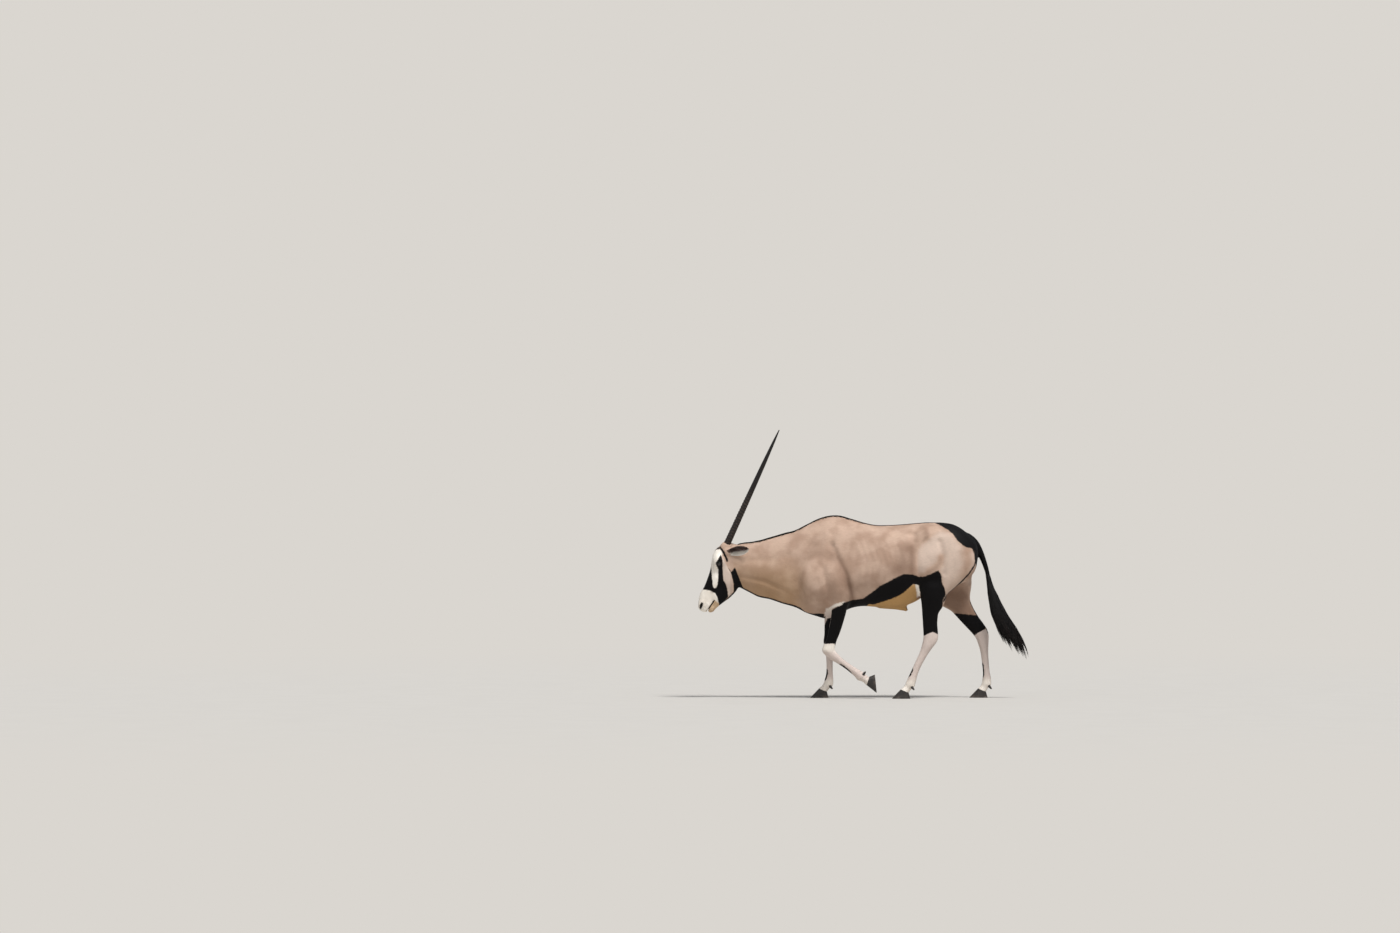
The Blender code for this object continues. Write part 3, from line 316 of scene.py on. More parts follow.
TRUNK = Trunk((
    (900, 975, 890, 800, 46, 2, 2), (850, 992, 880, 748, 60, 2, 2), (790, 1008, 870, 716, 69, 2, 1.9),
    (730, 1014, 855, 685, 75, 2, 1.8), (680, 1022, 840, 660, 79, 1.9, 1.8),
    (600, 1043, 828, 642, 87, 1.9, 1.8), (520, 1066, 820, 615, 98, 1.8, 1.8),
    (440, 1090, 810, 592, 114, 1.7, 1.8), (370, 1126, 805, 562, 130, 1.6, 1.8),
    (300, 1162, 800, 534, 146, 1.5, 1.8), (230, 1185, 800, 518, 158, 1.45, 1.8),
    (160, 1190, 800, 540, 168, 1.45, 1.9), (80, 1171, 800, 582, 182, 1.55, 2),
    (0, 1146, 805, 598, 198, 1.75, 2.1), (-80, 1129, 810, 594, 211, 1.95, 2.2),
    (-170, 1127, 820, 588, 218, 2.05, 2.2), (-260, 1132, 830, 596, 214, 2.1, 2.2),
    (-350, 1140, 860, 630, 196, 2.1, 2.1), (-440, 1146, 905, 690, 172, 2.1, 2.1),
    (-530, 1145, 940, 730, 155, 2, 2), (-600, 1131, 950, 755, 140, 2, 2), (-660, 1096, 950, 775, 118, 2, 2),
    (-705, 1056, 940, 800, 90, 2, 2),
))


def muscles(rows, sides=(1, -1), frame=None):
    """Muscles on these sides.

    Each row holds the left one's middle, its half sizes, its tilt in degrees, and how widely it blends; the
    lengths are in millimetres.
    """
    return [
        Muscle(mm(x, side * y, z), mm(*sizes), tilt, blend / 1000, frame)
        for side in sides for (x, y, z), sizes, tilt, blend in rows
    ]


# Muscles of the shoulder and the haunch, alike on both sides, and those of each thigh
SHOULDER = (
    ((220, 72, 930), (190, 52, 90), -66, 70),
    ((286, 118, 772), (116, 60, 140), 12, 30),
    ((190, 126, 775), (130, 60, 115), -24, 30),
    ((135, 118, 680), (70, 45, 60), -15, 40),
    ((330, 55, 640), (80, 60, 85), 20, 50),
)
HAUNCH = (
    ((-415, 100, 1052), (50, 46, 60), 50, 60),
    ((-545, 76, 985), (180, 94, 120), 10, 70),
    ((-645, 88, 885), (96, 78, 135), 8, 50),
)
LEFT_THIGH = (
    ((-490, 115, 880), (150, 78, 155), -30, 40),
    ((-400, 128, 850), (62, 58, 100), -10, 35),
    ((-572, 115, 785), (66, 60, 130), 38, 35),
    ((-465, 118, 700), (78, 52, 130), -8, 35),
)
RIGHT_THIGH = (
    ((-510, 115, 880), (150, 78, 150), -20, 40),
    ((-470, 128, 830), (70, 58, 90), 30, 35),
    ((-625, 112, 790), (90, 62, 130), -15, 35),
    ((-590, 118, 700), (110, 52, 120), 40, 35),
)


def turned(angle, x, z):
    """X and Z turned by an angle that tips +X downward."""
    return (x * math.cos(angle) + z * math.sin(angle), -x * math.sin(angle) + z * math.cos(angle))


class Foot:
    """Where a foot is: the middle of its fetlock, which side it is on, and how far it is tipped forward."""

    reach = (0.036, -0.047)
    # How far down from fetlock to coronet each section is, and its reach forward, backward and sideways
    sections = (
        (0.00, (0.0275, 0.0305, 0.0265)),
        (0.55, (0.0235, 0.0265, 0.0255)),
        (1.12, (0.0290, 0.0285, 0.0310)),
    )

    def __init__(self, fetlock, track, pitch=0.0, reach=None):
        self.fetlock, self.track, self.pitch = fetlock, track, math.radians(pitch)
        ahead, down = turned(self.pitch, *(reach or self.reach))
        self.coronet = (fetlock[0] + ahead, fetlock[1] + down)

    def at(self, x, y, z):
        """Points given in the standing foot's frame, whose origin is the middle of the coronet."""
        ahead, up = turned(self.pitch, x, z)
        return np.stack([self.coronet[0] + ahead, self.track + y, self.coronet[1] + up], axis=-1)

    def rows(self):
        """Sections from the fetlock down to the coronet."""
        made = []
        for share, reach in self.sections:
            x, z = (a + (b - a) * share for a, b in zip(self.fetlock, self.coronet))
            made.append((x, self.track, z, *reach))
        return made


FEET = {
    "fore_left": Foot((0.014, 0.145), FORE_TRACK, pitch=96.0),
    "fore_right": Foot((0.218, 0.095), -FORE_TRACK),
    "hind_left": Foot((-0.310, 0.095), HIND_TRACK),
    "hind_right": Foot((-0.815, 0.096), -HIND_TRACK, reach=(0.030, -0.048)),
}


def leg_rows(side, track, rows):
    """Sections of a leg, in millimetres: X, how far outside the track each lies, Z, and its three reaches."""
    return [(x, side * (track + out), *rest) for x, out, *rest in mm(*rows)]


# The legs from the body down to the fetlock; the left fore leg's cannon is folded back
FORE_LEFT_ARM = leg_rows(1, FORE_TRACK, (
    (165, 10, 690, 70, 70, 46), (152, 8, 600, 52, 54, 40), (164, 4, 520, 44, 46, 34),
    (184, 0, 440, 38, 40, 29), (200, 0, 385, 34, 34, 27), (214, 0, 340, 40, 36, 30),
    (220, 0, 315, 42, 36, 30),
))
FORE_LEFT_CANNON = leg_rows(1, FORE_TRACK, (
    (226, 0, 316, 34, 34, 29), (196, 0, 283, 34, 34, 27), (158, 0, 253, 24, 25, 21),
    (105, 0, 215, 21, 22, 19), (60, 0, 182, 23, 25, 21), (30, 0, 160, 27, 29, 25), (14, 0, 145, 28, 29, 26),
))
FORE_RIGHT = leg_rows(-1, FORE_TRACK, (
    (200, 10, 690, 62, 76, 46), (196, 8, 600, 48, 60, 40), (202, 4, 520, 43, 48, 34),
    (208, 0, 450, 37, 40, 29), (212, 0, 405, 34, 34, 28), (214, 0, 365, 37, 35, 31),
    (213, 0, 325, 31, 33, 28), (212, 0, 270, 22, 24, 21), (211, 0, 200, 20, 22, 19),
    (212, 0, 150, 22, 24, 21), (215, 0, 118, 27, 30, 26), (218, 0, 95, 27.5, 30.5, 26.5),
))
HIND_LEFT = leg_rows(1, HIND_TRACK, (
    (-445, 6, 720, 70, 86, 50), (-442, 4, 640, 62, 66, 42), (-440, 0, 560, 54, 55, 36),
    (-440, 0, 490, 49, 48, 31), (-442, 0, 430, 47, 50, 30), (-438, 0, 392, 43, 52, 31),
    (-420, 0, 345, 34, 38, 29), (-397, 0, 295, 26, 28, 23), (-365, 0, 232, 23, 25, 21),
    (-338, 0, 172, 23, 25, 22), (-320, 0, 122, 28, 30, 26), (-310, 0, 95, 27.5, 30.5, 26.5),
))
HIND_RIGHT = leg_rows(-1, HIND_TRACK, (
    (-570, 6, 740, 110, 120, 54), (-610, 4, 660, 84, 95, 44), (-660, 0, 580, 66, 68, 37),
    (-712, 0, 510, 56, 54, 32), (-756, 0, 452, 48, 52, 30), (-780, 0, 410, 42, 50, 31),
    (-792, 0, 360, 34, 38, 29), (-800, 0, 300, 25, 27, 23), (-807, 0, 225, 22, 24, 21),
    (-813, 0, 165, 22, 24, 22), (-816, 0, 122, 28, 30, 26), (-815, 0, 96, 27.5, 30.5, 26.5),
))
# How widely a leg, the folded cannon and a pastern blend into what they meet
LEG_BLEND, CANNON_BLEND, FOOT_BLEND = 0.035, 0.012, 0.010


def leg_forms():
    """The four legs with their pasterns; the left fore leg is folded at the knee."""
    forms = [Limb(FORE_LEFT_ARM, LEG_BLEND), Limb(FORE_LEFT_CANNON, CANNON_BLEND)]
    forms += [Limb(rows, LEG_BLEND) for rows in (FORE_RIGHT, HIND_LEFT, HIND_RIGHT)]
    return forms + [Limb(foot.rows(), FOOT_BLEND) for foot in FEET.values()]


# The face and the lower jaw in the head's frame, from the poll down to the muzzle
FACE = mm(
    (-15, 0, -12, 34, 60, 50), (40, 0, -4, 62, 78, 64), (100, 0, -4, 60, 76, 66), (160, 0, -4, 50, 70, 56),
    (220, 0, -2, 47, 64, 47), (280, 0, 0, 48, 56, 41), (330, 0, 2, 56, 46, 42), (375, 0, 4, 50, 38, 44),
    (405, 0, 4, 36, 30, 38),
)
JAW = mm(
    (150, 0, -95, 50, 56, 50), (210, 0, -100, 50, 66, 48), (265, 0, -92, 40, 52, 40),
    (320, 0, -72, 34, 36, 32), (370, 0, -54, 24, 24, 30), (400, 0, -46, 18, 18, 27),
)
# Cheek, brow and jaw muscles, nostril wings, lips, and the roots of horn and ear
FACE_MUSCLES = (
    ((160, 30, -70), (85, 36, 62), 0, 30),
    ((92, 60, 12), (38, 21, 30), 0, 25),
    ((195, 40, -16), (90, 14, 18), 4, 30),
    ((285, 20, -58), (75, 22, 30), 10, 30),
    ((392, 22, 26), (32, 19, 21), 0, 16),
    ((385, 22, -12), (40, 20, 20), 0, 18),
    ((-12, 34, 0), (32, 28, 32), 0, 20),
    ((18, 56, -22), (24, 20, 26), 0, 20),
)
# The chin, as one row
CHIN = (((395, 0, -40), (30, 26, 17), 0, 12),)
# The middle of the left nostril in the head's frame, and the half sizes of its hollow
NOSTRIL, NOSTRIL_HOLLOW = (0.401, 0.035, 0.027), (0.024, 0.012, 0.0085)
# How thick the lids are over the eyeball, how far outside its middle their opening lies, and its half sizes
LID_THICKNESS, LID_OUT, LID_OPENING = 0.0040, 0.021, (0.0195, 0.014, 0.0125)
# The way up, in the model and in the head's frame
UPWARD = (0.0, 0.0, 1.0)


def head_forms():
    """The head: face and jaw, the muscles and hollows of each side, the chin and the lips."""
    forms = [
        Limb(FACE, 0.04, front=UPWARD, power=2.3, frame=HEAD),
        Limb(JAW, 0.018, front=UPWARD, power=2.2, frame=HEAD),
    ]
    down, beside, out = NOSTRIL
    for side in SIDES:
        eye = (EYE_DOWN, side * EYE_SIDE, EYE_OUT)
        opening = (EYE_DOWN, side * (EYE_SIDE + LID_OUT), EYE_OUT)
        forms += muscles(FACE_MUSCLES, (side,), HEAD)
        forms += [
            Muscle(eye, (EYE_RADIUS + LID_THICKNESS,) * 3, 0, 0.008, HEAD),
            Muscle((down, side * beside, out), NOSTRIL_HOLLOW, 10, 0.004, HEAD, True),
            Muscle(opening, LID_OPENING, 15, 0.003, HEAD, True),
        ]
    return forms + muscles(CHIN, (1,), HEAD) + [Lips(HEAD)]


# The sheath under the belly and the dock of the tail
SHEATH = mm(
    (-120, 0, 606, 16, 14, 18), (-200, 0, 600, 20, 17, 22), (-262, 0, 590, 22, 20, 22),
    (-284, 0, 578, 13, 13, 13),
)
DOCK = mm(
    (-685, 0, 1036, 40, 36, 34), (-730, 0, 1008, 32, 30, 30), (-766, 0, 956, 24, 24, 25),
    (-794, 0, 890, 19, 19, 21), (-816, 0, 820, 15.5, 15.5, 16.5), (-827, 0, 770, 11, 11, 11.5),
    (-834, 0, 730, 6, 6, 6),
)
FORMS = [TRUNK] + muscles(SHOULDER) + muscles(HAUNCH)
FORMS += muscles(LEFT_THIGH, (1,)) + muscles(RIGHT_THIGH, (-1,)) + leg_forms()
FORMS += [Limb(SHEATH, 0.03, front=UPWARD), Limb(DOCK, 0.02, front=(-1.0, 0.0, 0.0))]
FORMS += head_forms()


def body(p):
    """Distance from each point to the skin, negative inside."""
    field = np.full(len(p), 0.5)
    for form in FORMS:
        margin = form.blend + 0.06
        near = ((p > form.low - margin) & (p < form.high + margin)).all(axis=1)
        if not near.any():
            continue
        if isinstance(form, Lips):
            field[near] = form.apply(field[near], p[near])
        else:
            mix = carved if form.carve else joined
            field[near] = mix(field[near], form.distance(p[near]), form.blend)
    return field


# Cells along a block's side, and within how many blocks' widths of the zero level a block is made finely
BLOCK, BLOCK_REACH = 4, 2.4


def sampled(field, low, cells, step):
    """The field on a grid, worked out finely only in blocks near its zero level."""
    block = BLOCK
    wide = step * block
    coarse = cells // block
    axes = [low[i] + wide * np.arange(coarse[i] + 1) for i in range(3)]
    grid = np.stack(np.meshgrid(*axes, indexing="ij"), axis=-1).reshape(-1, 3)
    rough = field(grid).reshape(coarse + 1)
    values = rough[:-1, :-1, :-1]
    for axis in range(3):
        values = np.repeat(values, block, axis=axis)
    near = np.zeros(coarse, bool)
    for i, j, k in CORNERS:
        corner = rough[i:coarse[0] + i, j:coarse[1] + j, k:coarse[2] + k]
        near |= np.abs(corner) < wide * BLOCK_REACH
    inner = np.stack(np.meshgrid(*[np.arange(block)] * 3, indexing="ij"), axis=-1).reshape(-1, 3)
    index = (np.argwhere(near)[:, None] * block + inner).reshape(-1, 3)
    values[tuple(index.T)] = field(low + step * index)
    for axis in range(3):
        side = np.moveaxis(values, axis, 0)
        side[0] = np.maximum(side[0], step * 0.5)
        side[-1] = np.maximum(side[-1], step * 0.5)
    return values


def unpinched(values, step):
    """The grid with single corners filled in wherever its surface would touch itself along an edge."""
    def part(axis, u, v):
        cut = [slice(None)] * 3
        cut[(axis + 1) % 3] = slice(u, values.shape[(axis + 1) % 3] - 1 + u)
        cut[(axis + 2) % 3] = slice(v, values.shape[(axis + 2) % 3] - 1 + v)
        return tuple(cut)

    found = True
    while found:
        found = False
        for axis in range(3):
            for flip in (0, 1):
                inside = values < 0
                a, b = inside[part(axis, 0, flip)], inside[part(axis, 1, 1 - flip)]
                c, d = inside[part(axis, 1, flip)], inside[part(axis, 0, 1 - flip)]
                pinched = a & b & ~c & ~d
                values[part(axis, 1, flip)][pinched] = -0.05 * step
                found |= pinched.any()
    return values


def surface(field, low, high, step):
    """Points and four-sided faces of a field's zero level inside a box: one point in each crossed cell."""
    low = np.array(low, float)
    cells = BLOCK * np.ceil((np.array(high) - low) / step / BLOCK).astype(int)
    values = unpinched(sampled(field, low, cells, step), step)
    inside = values < 0
    filled = sum(
        inside[i:cells[0] - 1 + i, j:cells[1] - 1 + j, k:cells[2] - 1 + k].astype(np.int8)
        for i, j, k in CORNERS
    )
    crossed = (filled > 0) & (filled < 8)
    where = np.argwhere(crossed)
    number = np.full(crossed.shape, -1)
    number[crossed] = np.arange(len(where))
    total, hits = np.zeros((len(where), 3)), np.zeros(len(where))
    for a in CORNERS:
        for axis in range(3):
            if a[axis]:
                continue
            b = tuple(a[i] + (i == axis) for i in range(3))
            start, end = values[tuple((where + a).T)], values[tuple((where + b).T)]
            cross = (start < 0) != (end < 0)
            t = start[cross] / (start[cross] - end[cross])
            total[cross] += np.array(a) + t[:, None] * (np.array(b) - a)
            hits[cross] += 1
    points = low + step * (where + total / hits[:, None])
    faces = []
    for axis in range(3):
        u, v = (axis + 1) % 3, (axis + 2) % 3
        here = [slice(1, -1)] * 3
        here[axis] = slice(0, -1)
        after = list(here)
        after[axis] = slice(1, None)
        first, second = inside[tuple(here)], inside[tuple(after)]
        for leaving in (True, False):
            change = first & ~second if leaving else ~first & second
            at = np.argwhere(change) + [int(i != axis) for i in range(3)]
            ring = []
            for du, dv in ((-1, -1), (0, -1), (0, 0), (-1, 0)):
                cell = at.copy()
                cell[:, u] += du
                cell[:, v] += dv
                ring.append(number[tuple(cell.T)])
            faces.append(np.stack(ring if leaving else ring[::-1], axis=1))
    return settled(field, points, step), np.concatenate(faces)


def settled(field, points, step):
    """The points moved along the field's slope onto its zero level, by a third of a step at most."""
    small = step * 0.15
    value = field(points)
    slope = np.stack([(field(points + small * e) - value) / small for e in np.eye(3)], axis=1)
    size = np.maximum((slope ** 2).sum(axis=1), 0.05)
    move = -value[:, None] * slope / size[:, None]
    length = np.maximum(np.linalg.norm(move, axis=1), 1e-9)
    return points + move * np.minimum(1.0, step * 0.33 / length)[:, None]


# Muscles, bones and folds as lines seen from the side: X and Z of each line, half its width, and how far
# the skin rises there, or sinks where that is negative
RELIEF = [
    (mm((200, 1000), (165, 925), (116, 810), (85, 700), (66, 630)), 0.02, -0.0112),
    (mm((330, 990), (400, 870), (422, 760), (385, 660)), 0.034, -0.007),
    (mm((335, 800), (315, 720)), 0.055, 0.006),
    (mm((190, 830), (150, 720)), 0.038, 0.0075),
    (mm((262, 850), (235, 740), (210, 660)), 0.018, -0.0067),
    (mm((225, 1060), (272, 900)), 0.018, 0.0045),
    (mm((180, 1060), (215, 930)), 0.022, -0.004),
    (mm((-325, 1060), (-345, 930), (-352, 820), (-346, 770)), 0.021, -0.0095),
    (mm((-200, 1075), (-330, 1070)), 0.03, -0.0075),
    (mm((-402, 1112), (-428, 1050)), 0.02, 0.0075),
    (mm((-500, 1020), (-526, 920), (-522, 820)), 0.018, -0.0097),
    (mm((-440, 930), (-430, 830)), 0.04, 0.0075),
    (mm((-600, 960), (-610, 860)), 0.04, 0.006),
    (mm((800, 790), (640, 760), (500, 700), (420, 650)), 0.016, -0.0075),
    (mm((780, 900), (620, 900), (480, 930)), 0.024, -0.0053),
    (mm((-60, 660), (-180, 700), (-300, 760)), 0.03, -0.0045),
]
RELIEF += [
    (((x, 1.020), (x - 0.045, 0.900), (x - 0.030, 0.760)), 0.011, 0.0024)
    for x in np.linspace(0.045, -0.235, 8)
]
# The same on the head, as distances down the face and out from it
HEAD_RELIEF = (
    (mm((150, -22), (220, -34)), 0.012, 0.0025),
    (mm((165, -52), (240, -60)), 0.014, -0.0022),
    (mm((60, 28), (110, 26)), 0.01, 0.0022),
    (mm((135, 12), (180, -4)), 0.008, -0.0024),
    (mm((80, -30), (120, -45), (140, -85)), 0.012, 0.002),
    (mm((370, 8), (420, 0)), 0.007, -0.0016),
    (mm((352, 20), (362, -6)), 0.007, -0.0014),
)


def relief(lines, u, v):
    """How far the skin rises: across each line a bell, its height times exp(-(distance / half) squared)."""
    rise = np.zeros(len(u))
    for line, half, height in lines:
        near = np.flatnonzero(boxed(line, 3 * half, u, v))
        if len(near):
            rise[near] += height * np.exp(-((stroke(line, 0.0, u[near], v[near]) / half) ** 2))
    return rise


def boxed(line, margin, u, v):
    """Which places lie within this margin of the line's box."""
    (lu, lv), (hu, hv) = np.min(line, axis=0) - margin, np.max(line, axis=0) + margin
    return (u > lu) & (u < hu) & (v > lv) & (v < hv)


def stroke(line, half, u, v):
    """Signed distance to a band of this half width along a line of straight pieces."""
    nearest = np.full(len(u), np.inf)
    for (au, av), (bu, bv) in zip(line[:-1], line[1:]):
        eu, ev = bu - au, bv - av
        t = np.clip(((u - au) * eu + (v - av) * ev) / (eu * eu + ev * ev), 0.0, 1.0)
        nearest = np.minimum(nearest, (u - au - t * eu) ** 2 + (v - av - t * ev) ** 2)
    return np.sqrt(nearest) - half


def skin_field(p):
    """Distance to the skin: the body's distance moved inward by the coat's depth, with muscles and folds."""
    on_leg = fall(0.40, 0.62, p[:, 2])
    on_head = smooth(0.80, 0.88, p[:, 0])
    depth = TRUNK_DEPTH + (LEG_DEPTH - TRUNK_DEPTH) * on_leg + (HEAD_DEPTH - TRUNK_DEPTH) * on_head
    side = np.abs(p[:, 1])
    rise = relief(RELIEF, p[:, 0], p[:, 2]) * smooth(0.030, 0.075, side)
    face = p[:, 0] > 0.78
    if face.any():
        local = HEAD.inward(p[face])
        rise[face] += relief(HEAD_RELIEF, local[:, 0], local[:, 2]) * smooth(0.012, 0.030, side[face])
    return body(p) + depth - rise


# The solids stand on the origin; the field's own origin lies apart from it by this much
SHIFT = np.array([(low + high) / 2 for low, high in zip(*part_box("eye_left"))])
SHIFT -= HEAD.outward((EYE_DOWN, EYE_SIDE, EYE_OUT))


def new_object(name, points, faces, material=None, smooth_shade=True):
    """An object of these points and faces, moved to where the solids stand."""
    mesh = bpy.data.meshes.new(name)
    faces = [np.asarray(group) for group in (faces if isinstance(faces, list) else [faces])]
    sizes = np.concatenate([np.full(len(group), group.shape[1]) for group in faces])
    corners = np.concatenate([group.ravel() for group in faces]).astype(np.int32)
    mesh.vertices.add(len(points))
    mesh.vertices.foreach_set("co", (np.asarray(points) + SHIFT).astype(np.float32).ravel())
    mesh.loops.add(len(corners))
    mesh.loops.foreach_set("vertex_index", corners)
    mesh.polygons.add(len(sizes))
    mesh.polygons.foreach_set("loop_start", np.concatenate([[0], np.cumsum(sizes)[:-1]]).astype(np.int32))
    mesh.update(calc_edges=True)
    mesh.validate()
    mesh.polygons.foreach_set("use_smooth", np.full(len(mesh.polygons), smooth_shade))
    obj = bpy.data.objects.new(name, mesh)
    bpy.context.scene.collection.objects.link(obj)
    if material:
        mesh.materials.append(material)
    return obj


def keep_value(obj, name, values):
    """One number for each point of the mesh, for its material to read."""
    attribute = obj.data.attributes.new(name, "FLOAT", "POINT")
    attribute.data.foreach_set("value", np.asarray(values, np.float32))


def points_of(obj):
    """The object's points as an array, back on the field's own origin."""
    points = np.empty(len(obj.data.vertices) * 3, np.float32)
    obj.data.vertices.foreach_get("co", points)
    return points.reshape(-1, 3).astype(float) - SHIFT


def settle(obj):
    """Apply the object's modifiers to its mesh."""
    graph = bpy.context.evaluated_depsgraph_get()
    mesh = bpy.data.meshes.new_from_object(obj.evaluated_get(graph), depsgraph=graph)
    obj.modifiers.clear()
    old, obj.data = obj.data, mesh
    bpy.data.meshes.remove(old)
    return obj


def with_faces(obj, change):
    """Change all the faces of an object."""
    shape = bmesh.new()
    shape.from_mesh(obj.data)
    change(shape, faces=shape.faces)
    shape.to_mesh(obj.data)
    shape.free()


def box_solid(low, high):
    """A plain box, used as a cutter."""
    ends = np.array([low, high])
    corners = np.array([(ends[i, 0], ends[j, 1], ends[k, 2]) for i, j, k in CORNERS])
    faces = np.array([(0, 1, 3, 2), (4, 6, 7, 5), (0, 4, 5, 1), (2, 3, 7, 6), (0, 2, 6, 4), (1, 5, 7, 3)])
    return new_object("cutter", corners, faces)


def combined(obj, other, operation):
    """Join another closed object to this one, cut it away or keep what both share, and remove it."""
    modifier = obj.modifiers.new("combine", "BOOLEAN")
    modifier.operation, modifier.solver, modifier.object = operation, "MANIFOLD", other
    settle(obj)
    bpy.data.objects.remove(other)
    return obj


# The height where the legs meet the trunk, the X where the head does, and how far these reach into it
LEG_TOP, HEAD_BACK, OVERLAP = 0.470, 0.800, 0.0008
# The parts of the skin: two corners of a box around each, and the spacing of its points
REGIONS = {
    "trunk": ((-0.93, -0.26, 0.43), (0.86, 0.26, 1.25), TRUNK_STEP),
    "head": ((0.76, -0.14, 0.52), (1.12, 0.14, 1.07), HEAD_STEP),
    "fore_left": ((-0.12, 0.02, 0.02), (0.32, 0.20, 0.52), LEG_STEP),
    "fore_right": ((0.08, -0.22, 0.02), (0.34, -0.02, 0.52), LEG_STEP),
    "hind_left": ((-0.60, 0.02, 0.02), (-0.20, 0.24, 0.52), LEG_STEP),
    "hind_right": ((-0.92, -0.24, 0.02), (-0.56, -0.02, 0.52), LEG_STEP),
}


def region_surface(item):
    """The points and faces of one part of the skin."""
    low, high, step = item
    return surface(skin_field, low, high, step)


def all_regions():
    """Every part of the skin, worked out side by side."""
    with ThreadPoolExecutor(4) as pool:
        return dict(zip(REGIONS, pool.map(region_surface, REGIONS.values())))


def skin(regions):
    """One closed skin: the parts are trimmed to the planes where they meet, and joined."""
    pieces = {name: new_object(name, *regions[name]) for name in REGIONS}
    whole = pieces["trunk"]
    high = 2.0
    combined(whole, box_solid((-2, -2, -1), (2, 2, LEG_TOP)), "DIFFERENCE")
    combined(whole, box_solid((HEAD_BACK, -2, -1), (2, 2, high)), "DIFFERENCE")
    for name in REGIONS:
        if name == "trunk":
            continue
        if name == "head":
            limit = box_solid((-1, -2, -1), (HEAD_BACK - OVERLAP, 2, high))
        else:
            limit = box_solid((-2, -2, LEG_TOP + OVERLAP), (2, 2, high))
        combined(pieces[name], limit, "DIFFERENCE")
        combined(whole, pieces[name], "UNION")
    with_faces(whole, bmesh.ops.triangulate)
    modifier = whole.modifiers.new("fewer", "DECIMATE")
    modifier.ratio = min(1.0, SKIN_TRIANGLES / len(whole.data.polygons))
    settle(whole)
    whole.name = whole.data.name = "skin"
    whole.data.polygons.foreach_set("use_smooth", np.ones(len(whole.data.polygons), bool))
    return whole


def inside(outline, u, v):
    """Signed distance to a closed outline of straight edges, negative inside."""
    outline = np.array(outline, float)
    nearest = np.full(len(u), np.inf)
    within = np.zeros(len(u), bool)
    for (au, av), (bu, bv) in zip(outline, np.roll(outline, -1, axis=0)):
        eu, ev = bu - au, bv - av
        t = np.clip(((u - au) * eu + (v - av) * ev) / (eu * eu + ev * ev), 0.0, 1.0)
        nearest = np.minimum(nearest, (u - au - t * eu) ** 2 + (v - av - t * ev) ** 2)
        if ev:
            within ^= ((av > v) != (bv > v)) & (u < au + eu * (v - av) / ev)
    return np.where(within, -1.0, 1.0) * np.sqrt(nearest)


def spot(start, end, half, p):
    """Signed distance to a round-ended patch between two points."""
    start, way = np.array(start), np.array(end) - np.array(start)
    t = np.clip((p - start) @ way / (way @ way), 0.0, 1.0)
    return np.linalg.norm(p - start - t[:, None] * way, axis=1) - half


# Outlines of the markings seen from the side, as X and Z
FLANK = mm(
    (132, 622), (112, 630), (60, 644), (0, 652), (-50, 687), (-106, 734), (-197, 781), (-258, 811),
    (-321, 810), (-363, 795), (-404, 798), (-446, 815), (-490, 836), (-508, 810), (-513, 760), (-533, 715),
    (-540, 680), (-522, 640), (-516, 560), (-530, 500), (-530, 440), (-495, 418), (-455, 436), (-380, 415),
    (-374, 500), (-374, 585), (-377, 640), (-374, 690), (-362, 742), (-326, 748), (-305, 728), (-258, 686),
    (-206, 659), (-134, 633), (-71, 612), (-30, 590), (20, 560), (110, 530),
)
FOREARM = mm(
    (230, 545), (205, 575), (175, 596), (130, 613), (80, 630), (60, 598), (80, 560), (90, 480), (130, 370),
    (172, 334), (184, 360), (250, 357), (280, 400), (280, 500),
)
CROUP = mm(
    (-430, 1200), (-430, 1146), (-466, 1144), (-498, 1130), (-554, 1098), (-591, 1064), (-612, 1030),
    (-654, 995), (-685, 980), (-716, 980), (-730, 956), (-727, 900), (-724, 872), (-740, 845), (-768, 835),
    (-775, 800), (-800, 600), (-1100, 600), (-1000, 1200),
)
# The line down the rear of the thigh: partly black hair, partly painted shadow of the gap between the thighs
BUTTOCK_LINE_AND_SHADOW = mm(
    (-712, 990), (-730, 945), (-736, 900), (-727, 868), (-692, 816), (-640, 759), (-606, 726), (-562, 687),
    (-538, 660), (-528, 636),
)
# Under the belly: an ochre tint that is painted reflection of light from the ground
OCHRE_BELLY_REFLECTION = mm(
    (50, 480), (50, 602), (-71, 618), (-206, 664), (-305, 735), (-350, 750), (-360, 690), (-370, 600),
    (-376, 500), (0, 480),
)
# The haunch's cream: partly its paler hair, partly painted light where light falls on the hip and thigh
CREAM_AND_LIT_HAUNCH = mm(
    (-356, 820), (-350, 900), (-360, 970), (-420, 1030), (-500, 1090), (-560, 1075), (-650, 990),
    (-735, 950), (-730, 860), (-540, 640), (-525, 740), (-510, 800), (-498, 850), (-430, 818),
)
# Outlines on the face, as X and Z
FACE_WHITE = mm(
    (1000, 930), (972, 945), (952, 962), (926, 966), (917, 948), (923, 926), (941, 901), (955, 884),
    (948, 861), (937, 842), (937, 802), (941, 744), (948, 723), (960, 715), (971, 724), (977, 757),
    (982, 815), (984, 848), (1010, 862),
)
FACE_BLACK = mm(
    (920, 938), (910, 900), (909, 861), (908, 809), (904, 770), (887, 742), (877, 698), (874, 660),
    (903, 628), (929, 600), (935, 618), (944, 655), (957, 684), (990, 702), (1037, 709), (1080, 715),
    (1060, 800), (1000, 868), (987, 864), (983, 848), (981, 815), (976, 757), (970, 725), (960, 716),
    (949, 724), (942, 744), (938, 802), (938, 842), (949, 861), (956, 884), (942, 902), (928, 926),
)
BROW_LINE = mm((990, 926), (976, 950), (955, 972), (925, 982), (903, 951), (885, 912), (880, 895))
